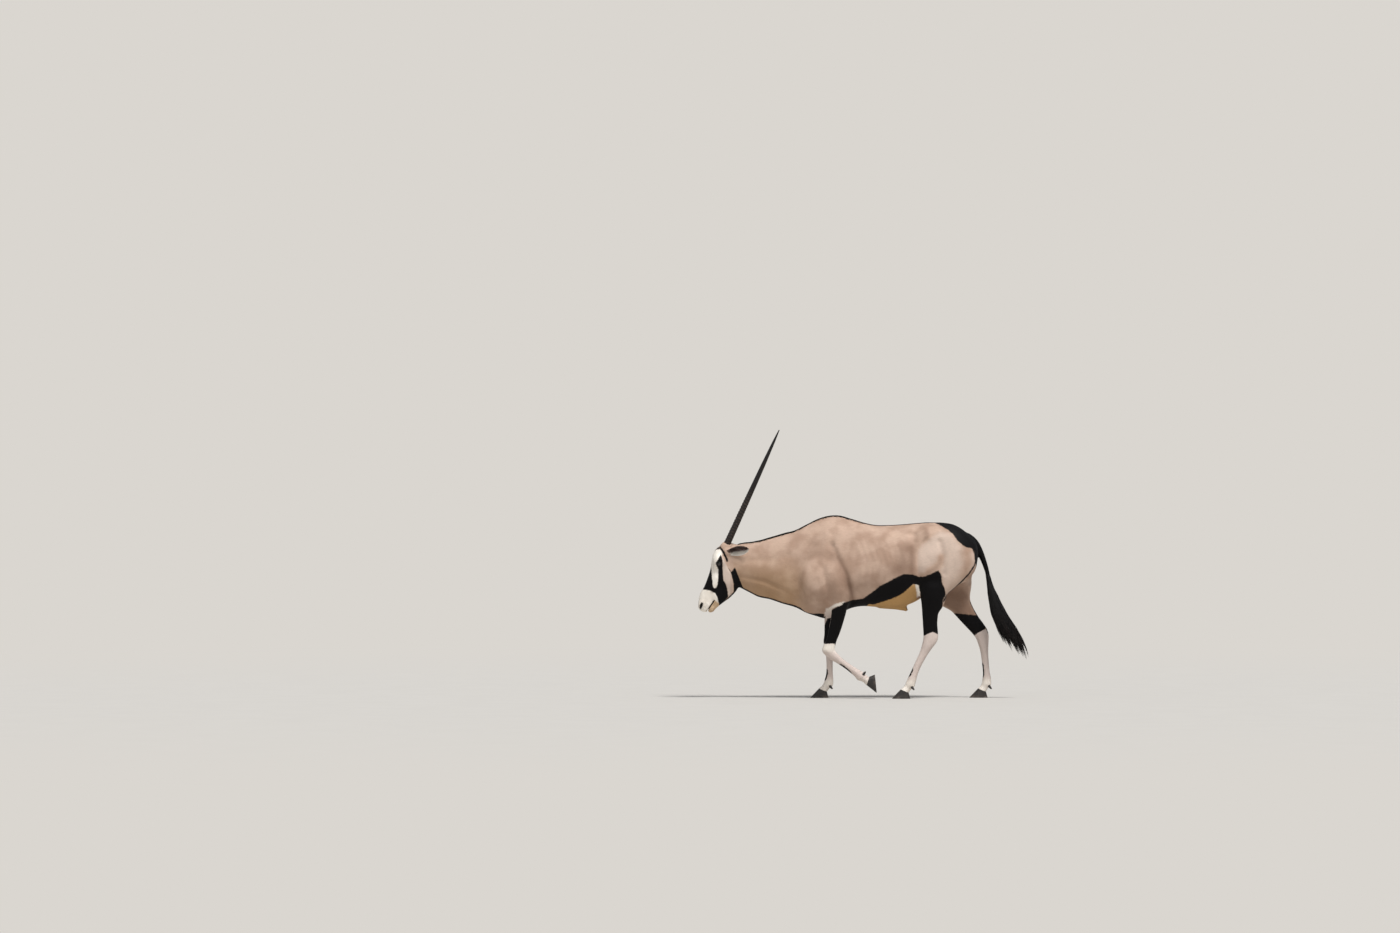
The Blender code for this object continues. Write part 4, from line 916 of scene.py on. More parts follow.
STRAP = mm(
    (874, 852), (852, 824), (830, 854), (819, 829), (805, 790), (779, 727), (762, 700), (820, 670),
    (880, 620), (925, 590), (929, 612), (877, 652), (838, 694), (838, 744), (853, 808), (866, 838),
)
CHEEK = mm(
    (920, 940), (888, 872), (874, 845), (853, 808), (838, 744), (837, 694), (866, 662), (874, 660),
    (877, 698), (887, 742), (904, 770), (908, 809), (909, 861), (910, 900),
)
MUZZLE = mm(
    (1080, 712), (1037, 707), (990, 700), (957, 682), (944, 654), (934, 616), (930, 590), (960, 540),
    (1080, 540),
)
LOWER_LIP = mm((966, 640), (933, 618), (930, 590), (960, 545), (1020, 555), (1018, 566))
# Lines of white hair, as X and Z
THIGH_EDGE = mm((-350, 745), (-362, 690), (-366, 600))
ELBOW_CRESCENT = mm((238, 556), (215, 585), (183, 606), (120, 625))
# The line under the neck, as X and how high it reaches, and the band above the hock, as two heights
THROAT_LINE = mm((800, 12), (500, 13), (380, 16), (300, 30), (262, 30))
HOCK_BAND = (0.420, 0.548)
# Ends of the strip at the inner rear of the forearm that stays free of black
INNER_FOREARM = ((0.14, FORE_TRACK - 0.045, 0.40), (0.10, FORE_TRACK - 0.045, 0.60))


def leg_line(rows, z):
    """X of the middle of a leg at each height."""
    rows = np.array(rows)[::-1]
    return np.interp(z, rows[:, 2], rows[:, 0])


def straightened(p):
    """The points with each right leg swung to where the left one is, so that one outline fits both."""
    x, z = p[:, 0].copy(), p[:, 2]
    right = smooth(0.0, 0.04, -p[:, 1])
    fore = smooth(-0.04, 0.08, x) * (x < 0.36) * fall(0.62, 0.74, z)
    hind = smooth(0.16, 0.40, -x) * fall(0.66, 0.92, z)
    x += right * fore * (leg_line(FORE_LEFT_ARM, z) - leg_line(FORE_RIGHT, z))
    x += right * hind * (leg_line(HIND_LEFT, z) - leg_line(HIND_RIGHT, z))
    return x, z


def flank_stripe(x, z, side):
    """The stripe along the flank and down the front of the thigh: it keeps to the outer half of the body."""
    outward = side - 0.075
    stripe = np.maximum(inside(FLANK, x, z), 0.010 - outward - 0.3 * smooth(-0.04, 0.0, x))
    on_thigh = (x < -0.22) & (z < 0.74)
    return np.maximum(stripe, np.where(on_thigh, (HIND_TRACK - 0.012) - side, -1.0))


def forearm_patch(x, z, side):
    """The black of the forearm, which leaves the inner rear and a streak on the inner front free."""
    inner_rear = spot(*INNER_FOREARM, 0.030, np.stack([x, side, z], axis=1))
    return np.maximum(np.maximum(inside(FOREARM, x, z), -inner_rear), -forearm_streak(x, z, side))


def hock_band(x, z, side):
    """The band across the leg above the hock, which slopes down toward the rear."""
    low, high = HOCK_BAND
    behind = -(x + 0.420)
    band = np.maximum(low + 0.45 * behind - z, z - (high - 0.10 * behind))
    band = np.maximum(band, np.maximum(x + 0.30, 0.03 - side))
    return np.maximum(band, -0.62 - x)


def croup_patch(p, side):
    """The patch over the croup and the tail, with a rounded lower edge on the rump."""
    drop = np.clip((0.940 - p[:, 2]) / 0.100, 0.0, 1.0)
    narrow = side - 0.135 * np.sqrt(1.0 - drop ** 2) - 8.0 * np.maximum(p[:, 2] - 0.98, 0.0)
    on_rump = p[:, 0] > -0.78
    return np.maximum(inside(CROUP, p[:, 0], p[:, 2]), np.where(on_rump, narrow, -1.0))


def buttock_line_and_shadow(p, z, side):
    """The thin line from the tail down the rear of the thigh, on its outer half, shorter on the right: partly
    black hair, partly painted shadow of the gap between the thighs.
    """
    outer_half = side > 0.03 + 0.085 * fall(0.72, 0.80, z)
    seam = np.where(outer_half, stroke(BUTTOCK_LINE_AND_SHADOW, 0.0050, p[:, 0], z), 1.0)
    return np.where(p[:, 1] > 0, seam, np.maximum(seam, 0.78 - z))


def spine_and_throat(p, side):
    """The line along the back, wider over the loin, and the line under the neck, wider toward the chest."""
    x = np.clip(p[:, 0], TRUNK.rows[0, 0], TRUNK.rows[-1, 0])
    half = 0.006 + 0.010 * smooth(0.05, 0.20, -p[:, 0] + 0.20)
    spine = np.maximum(side - half, TRUNK.level(BACK, x) - 0.030 - p[:, 2])
    spine = np.maximum(spine, p[:, 0] - 0.800)
    stations = np.array(THROAT_LINE)[::-1]
    thick = np.interp(p[:, 0], stations[:, 0], stations[:, 1])
    throat = np.maximum(p[:, 2] - TRUNK.level(BELLY_LEVEL, x) - thick, np.abs(p[:, 0] - 0.525) - 0.275)
    return np.minimum(spine, np.maximum(throat, side - 0.060))


def face_mask(p):
    """The mask, brow line and cheek strap of the head, with the bare skin of nose and mouth."""
    u, v, side = p[:, 0], p[:, 2], np.abs(p[:, 1])
    thick = 0.0035 + 0.0035 * smooth(0.0, 0.06, 0.965 - u)
    mask = np.minimum(inside(FACE_BLACK, u, v), stroke(BROW_LINE, 0.0, u, v) - thick)
    strap = np.maximum(inside(STRAP, u, v), np.where(v > 0.765, 0.030 - side, -1.0))
    return np.minimum(np.minimum(mask, bare_skin(HEAD.inward(p))), strap)


def black_marks(p):
    """Signed distance to the black markings, negative inside them."""
    side = np.abs(p[:, 1])
    x, z = straightened(p)
    spots = [spot(start, end, CANNON_SPOT, p) for start, end in CANNON_SPOTS]
    black = np.minimum.reduce([
        flank_stripe(x, z, side), forearm_patch(x, z, side), hock_band(x, z, side), croup_patch(p, side),
        buttock_line_and_shadow(p, z, side), spine_and_throat(p, side), *spots])
    head = p[:, 0] > 0.74
    black[head] = np.minimum(np.where(p[head, 0] < 0.80, black[head], 1.0), face_mask(p[head]))
    return black


def off_mouth(local):
    """How far places in the head's frame lie above or below the mouth, and how far above its corner."""
    line = np.array(Lips.line)
    level = np.interp(local[:, 0], line[:, 0], line[:, 1])
    return np.abs(local[:, 2] - level), line[0, 0] - local[:, 0]


def off_nostril(local, sizes):
    """Distance from the middle of the nearer nostril as a multiple of these half sizes."""
    off = np.stack([local[:, 0], np.abs(local[:, 1]), local[:, 2]], axis=1) - NOSTRIL
    return np.linalg.norm(off / sizes, axis=1)


def bare_skin(local):
    """Signed distance to the dark bare skin of the nostrils and the mouth's edge, by places in the head."""
    away, above = off_mouth(local)
    mouth = np.maximum(away - 0.0046, above)
    return np.minimum((off_nostril(local, (0.025, 0.020, 0.0095)) - 1.0) * 0.010, mouth)


def forearm_streak(x, z, side):
    """Signed distance to the white streak down the inner front of each forearm, which narrows downward."""
    ahead = x - leg_line(FORE_LEFT_ARM, z)
    front = 0.010 + 0.32 * (0.560 - z) - ahead
    return np.max([front, ahead - 0.078, side - FORE_TRACK - 0.006, np.abs(z - 0.520) - 0.062], axis=0)


def white_marks(p):
    """Signed distance to the white hair, negative inside it."""
    side = np.abs(p[:, 1])
    x, z = straightened(p)
    fore, hind = (p[:, 0] > -0.12) & (p[:, 0] < 0.36), p[:, 0] < -0.22
    white = np.where(fore, z - 0.375, 1.0)
    white = np.where(hind, z - 0.440, white)
    thigh = np.maximum(stroke(THIGH_EDGE, 0.004, x, z), np.where(p[:, 1] > 0, 0.095, 0.135) - side)
    white = np.minimum(white, thigh)
    crescent = np.maximum(stroke(ELBOW_CRESCENT, 0.0025, x, z), 0.05 - side)
    streak = np.where(fore, forearm_streak(x, z, side), 1.0)
    white = np.minimum(white, np.minimum(streak, crescent))
    head = p[:, 0] > 0.80
    u, v = p[head, 0], p[head, 2]
    face = np.minimum(inside(FACE_WHITE, u, v), inside(MUZZLE, u, v))
    white[head] = face
    white[(p[:, 2] > 0.3) & (p[:, 0] > 0.36) & ~head] = 1.0
    return white


def pale_and_shade_marks(p):
    """How pale the fawn is: up to 1 on cheek and haunch, the haunch partly as painted light, and below 0 as
    painted shade in folds, inside the legs and on the neck.

    Low on the legs it says how white the hair is at the knee and the pastern.
    """
    side = np.abs(p[:, 1])
    x, z = straightened(p)
    cheek = fall(-0.004, 0.006, inside(CHEEK, p[:, 0], p[:, 2]))
    # Partly painted light: paler hair of the haunch, lightened further where light falls on the hip and thigh
    haunch = fall(-0.022, 0.022, inside(CREAM_AND_LIT_HAUNCH, x, z)) * smooth(0.03, 0.08, side)
    knee = np.exp(-(((z - 0.335) / 0.030) ** 2)) * (p[:, 0] > 0.0) * (p[:, 0] < 0.40)
    pastern = 0.8 * fall(0.10, 0.15, p[:, 2])
    # Painted shade inside the hind legs, where the belly and the other leg shade them
    inner = fall(0.66, 0.80, z) * fall(0.085, 0.115, side) * (p[:, 0] < -0.30)
    # Painted shade low on the neck, where the head shades it
    neck = fall(0.70, 0.92, p[:, 2]) * smooth(0.42, 0.60, p[:, 0]) * (p[:, 0] < 0.86) * 0.45
    # Painted shade along the folds and hollows of the trunk
    folds = sum(
        depth * np.exp(-((stroke(line, 0.0, x, z) / half) ** 2))
        for line, half, depth in PAINTED_FOLD_SHADE
    )
    painted_shade = np.maximum(np.maximum(inner * 0.75, neck), np.minimum(folds, 0.9) * smooth(0.04, 0.09, side))
    pale = np.maximum(cheek * 0.85, haunch * 0.55 * (1.0 - np.minimum(folds, 1.0))) - painted_shade
    return np.where(p[:, 2] < 0.40, np.maximum(knee, pastern), pale)


def tan_and_painted_light_marks(p):
    """How brown the hair is, from 0 to 1: on the lower lip, its own colour; under the belly, painted
    reflection of the ground's ochre light; and low on the neck, painted shade.
    """
    lip = fall(-0.003, 0.005, inside(LOWER_LIP, p[:, 0], p[:, 2]))
    side = np.abs(p[:, 1])
    x, z = straightened(p)
    # Painted reflection: the belly's ochre stands for light thrown up from the ground
    belly = fall(-0.004, 0.008, inside(OCHRE_BELLY_REFLECTION, x, z))
    middle = (p[:, 0] < 0.04) * (p[:, 0] > -0.44) * (z < 0.63)
    belly = np.maximum(belly, fall(0.10, 0.16, side) * middle)
    off_thigh = np.where(side > 0.06, stroke(THIGH_EDGE, 0.006, x, z), 1.0)
    belly *= 1.0 - 0.9 * fall(0.0, 0.012, off_thigh)
    belly *= (z > 0.50) * (p[:, 0] > -0.41)
    # Painted shade: the lower neck is browner where the head shades it
    low = fall(0.66, 1.00, p[:, 2]) * smooth(0.30, 0.50, p[:, 0]) * (p[:, 0] < 0.84)
    return np.maximum(np.maximum(lip * 0.75, belly), low * 0.40)


# Painted shade along the folds, creases and hollows of the trunk: the line of each fold, half its width, and
# how dark
PAINTED_FOLD_SHADE = (
    (mm((184, 930), (122, 810), (86, 660)), 0.034, 0.42),
    (mm((160, 920), (95, 801), (60, 640)), 0.012, 0.3),
    (mm((-316, 985), (-321, 900), (-318, 810)), 0.025, 0.5),
    (mm((-268, 965), (-262, 880), (-250, 825)), 0.055, 0.42),
    (mm((-507, 920), (-502, 885), (-470, 855), (-430, 832)), 0.024, 0.5),
    (mm((-412, 1105), (-424, 1060), (-394, 1028)), 0.013, 0.36),
    (mm((-672, 950), (-685, 880), (-660, 810)), 0.04, 0.36),
    (mm((-610, 750), (-555, 680)), 0.045, 0.2),
    (mm((420, 900), (430, 760), (390, 640)), 0.045, 0.3),
    (mm((60, 740), (-120, 800), (-240, 850)), 0.06, 0.22),
)
# Ends of the black patch in front of each cannon, and half its width
CANNON_SPOT = 0.0185
CANNON_SPOTS = (
    ((0.139, FORE_TRACK, 0.216), (0.087, FORE_TRACK, 0.170)),
    ((0.230, -FORE_TRACK, 0.172), (0.235, -FORE_TRACK, 0.126)),
    ((-0.321, HIND_TRACK, 0.186), (-0.308, HIND_TRACK, 0.156)),
    ((-0.786, -HIND_TRACK, 0.212), (-0.792, -HIND_TRACK, 0.150)),
)


def limb_share(p):
    """One where the hair runs down a leg, and zero where it runs back along the body."""
    return fall(0.50, 0.66, p[:, 2] + 0.1 * smooth(0.3, 0.5, p[:, 0]))


def hexed(code):
    """Linear colour from an sRGB hex code."""
    parts = [int(code[i:i + 2], 16) / 255 for i in (1, 3, 5)]
    linear = [c / 12.92 if c <= 0.04045 else ((c + 0.055) / 1.055) ** 2.4 for c in parts]
    return (*linear, 1.0)


def fill(socket, value):
    """Give a node's input a value, a colour as a hex code, or the output that feeds it."""
    if isinstance(value, bpy.types.NodeSocket):
        socket.id_data.links.new(value, socket)
    else:
        socket.default_value = hexed(value) if isinstance(value, str) else value


def add(tree, kind, settings=None, **inputs):
    """A node of a material, with its settings and inputs: i0, i1 and so on name an input by its number."""
    made = tree.nodes.new("ShaderNode" + kind)
    for name, value in (settings or {}).items():
        setattr(made, name, value)
    for name, value in inputs.items():
        fill(made.inputs[int(name[1:])] if name[1:].isdigit() else made.inputs[name.replace("_", " ")], value)
    return made


def shade_with(shader, **inputs):
    """Set the shader's inputs, or lead outputs into them."""
    for name, value in inputs.items():
        fill(shader.inputs[name.replace("_", " ")], value)


def new_material(name, **values):
    """A material with a Principled shader and the values that are the same all over it."""
    material = bpy.data.materials.new(name)
    material.use_nodes = True
    shader = material.node_tree.nodes["Principled BSDF"]
    shade_with(shader, **values)
    return material, material.node_tree, shader


def math_node(tree, operation, *values, clamp=False):
    """One sum, product or the like of values and outputs."""
    inputs = {f"i{i}": value for i, value in enumerate(values)}
    return add(tree, "Math", {"operation": operation, "use_clamp": clamp}, **inputs).outputs[0]


def plus(tree, a, b):
    """The sum of two values."""
    return math_node(tree, "ADD", a, b)


def times(tree, a, b):
    """The product of two values."""
    return math_node(tree, "MULTIPLY", a, b)


def swing(tree, value, size):
    """How far a value lies from one half, times a size."""
    return times(tree, math_node(tree, "SUBTRACT", value, 0.5), size)


def mixed(tree, factor, a, b):
    """Colour a where the factor is 0 and b where it is 1."""
    return add(tree, "MixRGB", None, Fac=factor, Color1=a, Color2=b).outputs[0]


def place_of(tree):
    """The place on the object, as its shader sees it."""
    return add(tree, "TexCoord").outputs["Object"]


def value_of(tree, name):
    """The number that the mesh keeps under this name."""
    return add(tree, "Attribute", {"attribute_name": name}).outputs["Fac"]


def noise(tree, place, scale, detail=2.0, rough=0.5):
    """Smooth random values about one half."""
    made = add(tree, "TexNoise", None, Vector=place, Scale=scale, Detail=detail, Roughness=rough)
    return made.outputs["Fac"]


def fibres(tree, place, scale, detail=2.0, turn=(0.0, 0.0, 0.0)):
    """Noise drawn out along one axis: the scale is high across the fibres and low along them."""
    drawn = add(tree, "Mapping", None, Vector=place, Scale=scale, Rotation=turn).outputs[0]
    return noise(tree, drawn, 1.0, detail, 0.6)


def bands(tree, value, scale, distortion):
    """Light and dark bands that follow each other as the value rises."""
    settings = {"wave_type": "BANDS", "bands_direction": "X"}
    along = add(tree, "CombineXYZ", None, X=value).outputs[0]
    return add(tree, "TexWave", settings, Vector=along, Scale=scale, Distortion=distortion).outputs["Fac"]


def ranged(tree, value, low, high, to_low=0.0, to_high=1.0, smoothly=True):
    """The value moved from one range to another, and held at its ends."""
    settings = {"interpolation_type": "SMOOTHSTEP" if smoothly else "LINEAR"}
    limits = {"From_Min": low, "From_Max": high, "To_Min": to_low, "To_Max": to_high}
    return add(tree, "MapRange", settings, Value=value, **limits).outputs[0]


def bumped(tree, shader, height, strength, distance):
    """Raise the shader's surface by this height."""
    bump = add(tree, "Bump", None, Strength=strength, Distance=distance, Height=height)
    shade_with(shader, Normal=bump.outputs[0])


# Hair colours
FAWN_LIGHT, FAWN_DEEP = "#C5A996", "#AD907D"
# Cream also serves as painted light on the haunch, tan also as painted reflection and painted shade, and the
# umber only as painted shade
CREAM, TAN, PAINTED_SHADE_UMBER = "#DCCABC", "#BE9663", "#7D6251"
WHITE_HAIR, WHITE_DUSTY, WHITE_LEG = "#FAF3E8", "#E4DACD", "#D5C5BC"
BLACK_HAIR = "#080607"
# Strands about 2 mm apart and 25 mm long, drawn coarser than real hair so that they show
STRAND_LONG, STRAND_CLOSE = 40.0, 420.0


def coat_material(name, bump):
    """Short hair: fawn, white and black by the marks, with ragged edges and strands along its lie; the pale
    and tan marks also bring painted light, painted reflection and painted shade into the fawn.

    Real coat is matt with a faint sheen where light grazes it; black hair is a little glossier.
    """
    material, tree, shader = new_material(
        name, Metallic=0.0, IOR=1.45, Specular_IOR_Level=0.14, Sheen_Weight=0.02, Sheen_Roughness=0.45,
        Sheen_Tint=(1.0, 0.96, 0.92, 1.0))
    place = place_of(tree)
    limb, pale, tan = (value_of(tree, mark) for mark in ("limb", "pale", "tan"))
    body_strands = fibres(tree, place, (STRAND_LONG, STRAND_CLOSE, STRAND_CLOSE))
    leg_strands = fibres(tree, place, (STRAND_CLOSE, STRAND_CLOSE, STRAND_LONG))
    strands = add(tree, "Mix", {"data_type": "FLOAT"}, i0=limb, i2=body_strands, i3=leg_strands).outputs[0]
    ragged = noise(tree, place, 130.0, 3.0, 0.65)
    edge = plus(tree, swing(tree, ragged, 0.013), swing(tree, strands, 0.006))
    is_black = ranged(tree, plus(tree, value_of(tree, "black"), edge), 0.0022, -0.0022)
    is_white = ranged(tree, plus(tree, value_of(tree, "white"), edge), 0.012, 0.002)
    tone = ranged(tree, noise(tree, place, 9.0), 0.30, 0.70)
    fawn = mixed(tree, tone, FAWN_LIGHT, FAWN_DEEP)
    # Toward cream: pale hair, and on the haunch partly painted light
    fawn = mixed(tree, math_node(tree, "MAXIMUM", pale, 0.0), fawn, CREAM)
    # Below zero the pale mark is painted shade, which turns the fawn toward umber
    dark = math_node(tree, "MAXIMUM", times(tree, pale, -1.0), 0.0)
    # Toward tan: the lip's own brown, the belly's painted reflection and the neck's painted shade
    fawn = mixed(tree, tan, mixed(tree, dark, fawn, PAINTED_SHADE_UMBER), TAN)
    white = mixed(tree, tone, WHITE_HAIR, WHITE_DUSTY)
    white = mixed(tree, math_node(tree, "SUBTRACT", limb, pale, clamp=True), white, WHITE_LEG)
    white = mixed(tree, tan, white, TAN)
    colour = mixed(tree, is_black, mixed(tree, is_white, fawn, white), BLACK_HAIR)
    # Each tuft and each strand is a little lighter or darker than its neighbours
    by_strand = times(tree, strands, 0.22)
    by_tuft = times(tree, value_of(tree, "shade"), 0.10)
    vary = plus(tree, plus(tree, by_strand, by_tuft), 0.84)
    bright = add(tree, "HueSaturation", None, Value=vary, Color=colour).outputs[0]
    shade_with(shader, Base_Color=bright, Roughness=ranged(tree, is_black, 0.0, 1.0, 0.78, 0.56, False))
    bumped(tree, shader, strands, bump, 0.0012)
    return material


def band_faces(rings, count, closed=True):
    """Four-sided faces between rings of count points that follow each other."""
    i, j = np.meshgrid(np.arange(rings - 1), np.arange(count if closed else count - 1), indexing="ij")
    k = (j + 1) % count
    quads = np.stack([i * count + j, i * count + k, (i + 1) * count + k, (i + 1) * count + j], axis=-1)
    return quads.reshape(-1, 4)


def tube(name, rings, material):
    """A closed surface over an array of rings, each end closed by a fan to its middle."""
    rings = np.asarray(rings)
    count = rings.shape[1]
    points = np.concatenate([rings.reshape(-1, 3), rings[:1].mean(axis=1), rings[-1:].mean(axis=1)])
    last = len(points)
    j = np.arange(count)
    k = (j + 1) % count
    start = np.stack([k, j, np.full(count, last - 2)], axis=1)
    base = (len(rings) - 1) * count
    end = np.stack([base + j, base + k, np.full(count, last - 1)], axis=1)
    obj = new_object(name, points, [band_faces(len(rings), count), start, end], material)
    face_outward(obj)
    return obj


def keep_on_tube(obj, name, values, ends):
    """One number for each point of a tube's rings, and one for the middle of each end."""
    keep_value(obj, name, np.append(np.ravel(values), ends))


def face_outward(obj):
    """Turn the faces of a closed piece so that they point out of it."""
    with_faces(obj, bmesh.ops.recalc_face_normals)


def square_to(along, hint):
    """The unit direction nearest to the hint that is square to another direction."""
    side = hint - along * (hint @ along)
    return side / np.linalg.norm(side)


# Points along and round each horn, its rings, the share of it that they cover, and how far they stand out
HORN_ROWS, HORN_SIDES, HORN_RINGS = 300, 40, 21
HORN_RINGED, RING_HEIGHT = 0.50, 0.0023
# The horn's radius along it, as shares of that at its base
HORN_TAPER = ((0.0, 0.4, 0.7, 0.9, 1.0), (1.0, 0.80, 0.58, 0.33, 0.09))


def horn(side, material):
    """A cone that narrows from root to tip: radius plus a row of rounded ridges, strongest in front."""
    base, tip = np.array(HORN_BASE) * (1, side, 1), np.array(HORN_TIP) * (1, side, 1)
    length = np.linalg.norm(tip - base)
    along = (tip - base) / length
    ahead = -square_to(along, np.array([-1.0, 0.0, 0.0]))
    across = np.cross(along, ahead)
    share = np.linspace(-0.022, 0.997, HORN_ROWS)[:, None]
    angle = turns(HORN_SIDES)[None]
    size = HORN_RADIUS * np.interp(share, *HORN_TAPER)
    phase = share / HORN_RINGED * HORN_RINGS * (1.06 - 0.06 * share / HORN_RINGED)
    lean = 0.16 * np.cos(angle) + 0.07 * np.sin(3 * angle + 5 * share)
    wave = (0.5 - 0.5 * np.cos(2 * math.pi * (phase + lean))) ** 1.3
    drawn = np.random.default_rng(3)
    strength = np.interp(phase, np.arange(-2, HORN_RINGS + 3), drawn.uniform(0.65, 1.2, HORN_RINGS + 5))
    fade = fall(HORN_RINGED * 0.80, HORN_RINGED * 1.02, share)
    start = smooth(-0.004, 0.020, share)
    ridge = wave * strength * fade * start
    grooves = np.cos(17 * angle + 3 * np.sin(4 * share)) * 0.00018 * smooth(0.02, 0.1, share)
    rings = RING_HEIGHT * ridge * (0.75 + 0.25 * np.cos(angle))
    radius = size + rings - 0.0008 * fade + grooves * (1 - share)
    round_axis = (ahead * (np.cos(angle) * radius)[..., None]
                  + across * (np.sin(angle) * radius * 0.94)[..., None])
    points = base + along * (length * share)[..., None] + round_axis
    obj = tube(f"horn_{SIDES[side]}_keratin", points, material)
    keep_on_tube(obj, "ridge", np.broadcast_to(ridge, radius.shape), [0, 0])
    keep_on_tube(obj, "along", np.broadcast_to(share, radius.shape), [0, 1])
    return obj


# The ear from its root to near its tip: how far along, half its width, the depth of its back, and how
# deep the cup is as a share of that
EAR = (
    (-0.07, 0.0115, 0.0100, 0.0), (0.04, 0.0145, 0.0125, 0.1), (0.18, 0.0215, 0.0165, 0.8),
    (0.36, 0.0295, 0.0185, 1.0), (0.54, 0.0325, 0.0170, 1.0), (0.72, 0.0275, 0.0130, 1.0),
    (0.88, 0.0160, 0.0078, 0.8), (0.97, 0.0065, 0.0036, 0.5), (1.00, 0.0015, 0.0012, 0.2),
)
EAR_WALL, EAR_CURL = 0.0034, 0.010
# Across the ear, where the white of its lower edge begins and where it is full
EAR_WHITE_EDGE = (0.15, 0.60)


def ear_frame(side):
    """The ear's root, the way it points, the way its cup opens, and its wide way."""
    root = HEAD.outward((0.024, side * 0.066, -0.016))
    along = np.array([-0.94, side * 0.28, 0.14])
    along /= np.linalg.norm(along)
    out = square_to(along, np.array([0.10, side * 1.0, -0.45]))
    return root, along, out, np.cross(along, out)


def ear_places(side, share, across, inward):
    """Places on the ear: how far along it, across it and in from its mouth, with the tip curled back."""
    root, along, out, wide = ear_frame(side)
    curl = EAR_CURL * np.maximum(share, 0.0) ** 2
    middle = root + along * (EAR_LENGTH * share)[..., None]
    return middle + wide * across[..., None] - out * (inward + curl)[..., None]


def ear(side, material):
    """A leaf-shaped cup: half an ellipse for its back, and a shallower one inside it for the cup."""
    table = np.array(EAR)
    share = np.linspace(table[0, 0], 1.0, 70)
    half, deep, cup = eased(table[:, 0], table[:, 1:], share).T
    back = np.radians(np.linspace(-90, 90, 29))[None]
    inner = np.radians(np.linspace(82, -82, 25))[None]
    half, deep, cup = half[:, None], deep[:, None], cup[:, None]
    wall = np.minimum(EAR_WALL, deep * 0.5)
    across = np.concatenate([half * np.sin(back), (half - wall * 0.6) * np.sin(inner)], axis=1)
    folds = 0.0012 * np.cos(5 * inner) * cup * smooth(0.1, 0.4, half / 0.04)
    hollow = np.cos(inner) * (deep - wall) * cup - folds
    inward = np.concatenate([deep * np.cos(back), hollow], axis=1)
    points = ear_places(side, share[:, None], across, inward)
    obj = tube(f"ear_{SIDES[side]}_leaf", points, material)
    in_cup = np.concatenate([np.zeros(29), np.cos(inner[0])])[None] * cup
    for name, values in (("in_cup", in_cup), ("along", share[:, None]), ("edge", across / 0.033 * side)):
        keep_on_tube(obj, name, np.broadcast_to(values, across.shape), [0, 0])
    return obj


def eye_frame(side):
    """The middle of the eye, the way it looks, the level way along its slit and the way square to both."""
    middle = HEAD.outward((EYE_DOWN, side * EYE_SIDE, EYE_OUT))
    poll = HEAD.outward((0.0, 0.0, 0.0))
    look = HEAD.outward((0.06, side * 0.97, 0.20)) - poll
    look /= np.linalg.norm(look)
    level = square_to(look, HEAD.outward((math.cos(EYE_SLANT), 0.0, math.sin(EYE_SLANT))) - poll)
    return middle, look, level, np.cross(look, level) * side


# Half sizes of the pupil, the iris's radius, and the value of both marks on the back of the ball
PUPIL_HALF, IRIS_RADIUS, FAR_OFF = (0.0078, 0.0042), 0.0138, 9.0
# The radius of the lids' edge, and the slant of the slit between the lids
LID_RADIUS, EYE_SLANT = 0.0017, 0.26


def eyeball(side, material):
    """A ball with a clear bulge in front: its radius rises by an S-curve toward the pupil."""
    middle, look, level, rise = eye_frame(side)
    tilt = np.linspace(0.0, math.pi, 80)[1:-1, None]
    angle = turns(96)[None]
    bulge = 0.0011 * fall(0.30, 0.80, tilt)
    radius = EYE_RADIUS - 0.0004 + bulge
    u, v = np.sin(tilt) * np.cos(angle), np.sin(tilt) * np.sin(angle)
    w = np.cos(tilt) * np.ones_like(angle)
    points = middle + radius[..., None] * (u[..., None] * level + v[..., None] * rise + w[..., None] * look)
    obj = tube(f"eye_{SIDES[side]}_ball", points, material)
    u, v = (np.append((EYE_RADIUS * part).ravel(), [0, 0]) for part in (u, v))
    front = np.append(np.where(w > 0, 1.0, 0.0).ravel(), [1, 0])
    pupil = np.where(front > 0, np.hypot(u / PUPIL_HALF[0], v / PUPIL_HALF[1]), FAR_OFF)
    iris = np.where(front > 0, np.hypot(u, v) / IRIS_RADIUS, FAR_OFF)
    keep_value(obj, "pupil", pupil)
    keep_value(obj, "iris", iris)
    keep_value(obj, "around", np.arctan2(v, u))
    return obj


def eye_opening(side, count=96):
    """The loop where the skin meets the eyeball, found on the ball by halving the angle to its edge."""
    middle, look, level, rise = eye_frame(side)
    angle = turns(count)
    low, high = np.full(count, 0.05), np.full(count, 1.75)
    around = np.cos(angle)[:, None] * level + np.sin(angle)[:, None] * rise
    for _ in range(12):
        tilt = (low + high) / 2
        points = middle + (EYE_RADIUS + 0.0003) * (
            np.cos(tilt)[:, None] * look + np.sin(tilt)[:, None] * around)
        under = skin_field(points) < 0
        high, low = np.where(under, tilt, high), np.where(under, low, tilt)
    return points, around, look


def lid_rim(side, material):
    """The moist dark edge of the lids: a thin tube along the opening, which it smooths a little."""
    loop, around, look = eye_opening(side)
    turn = turns(10)[None, :, None]
    loop = (np.roll(loop, 1, axis=0) + loop + np.roll(loop, -1, axis=0)) / 3
    ring = loop[:, None] + LID_RADIUS * (np.cos(turn) * around[:, None] + np.sin(turn) * look)
    points = ring.reshape(-1, 3)
    faces = band_faces(len(loop) + 1, 10) % len(points)
    obj = new_object(f"lid_rim_{SIDES[side]}", points, faces, material)
    face_outward(obj)
    return obj


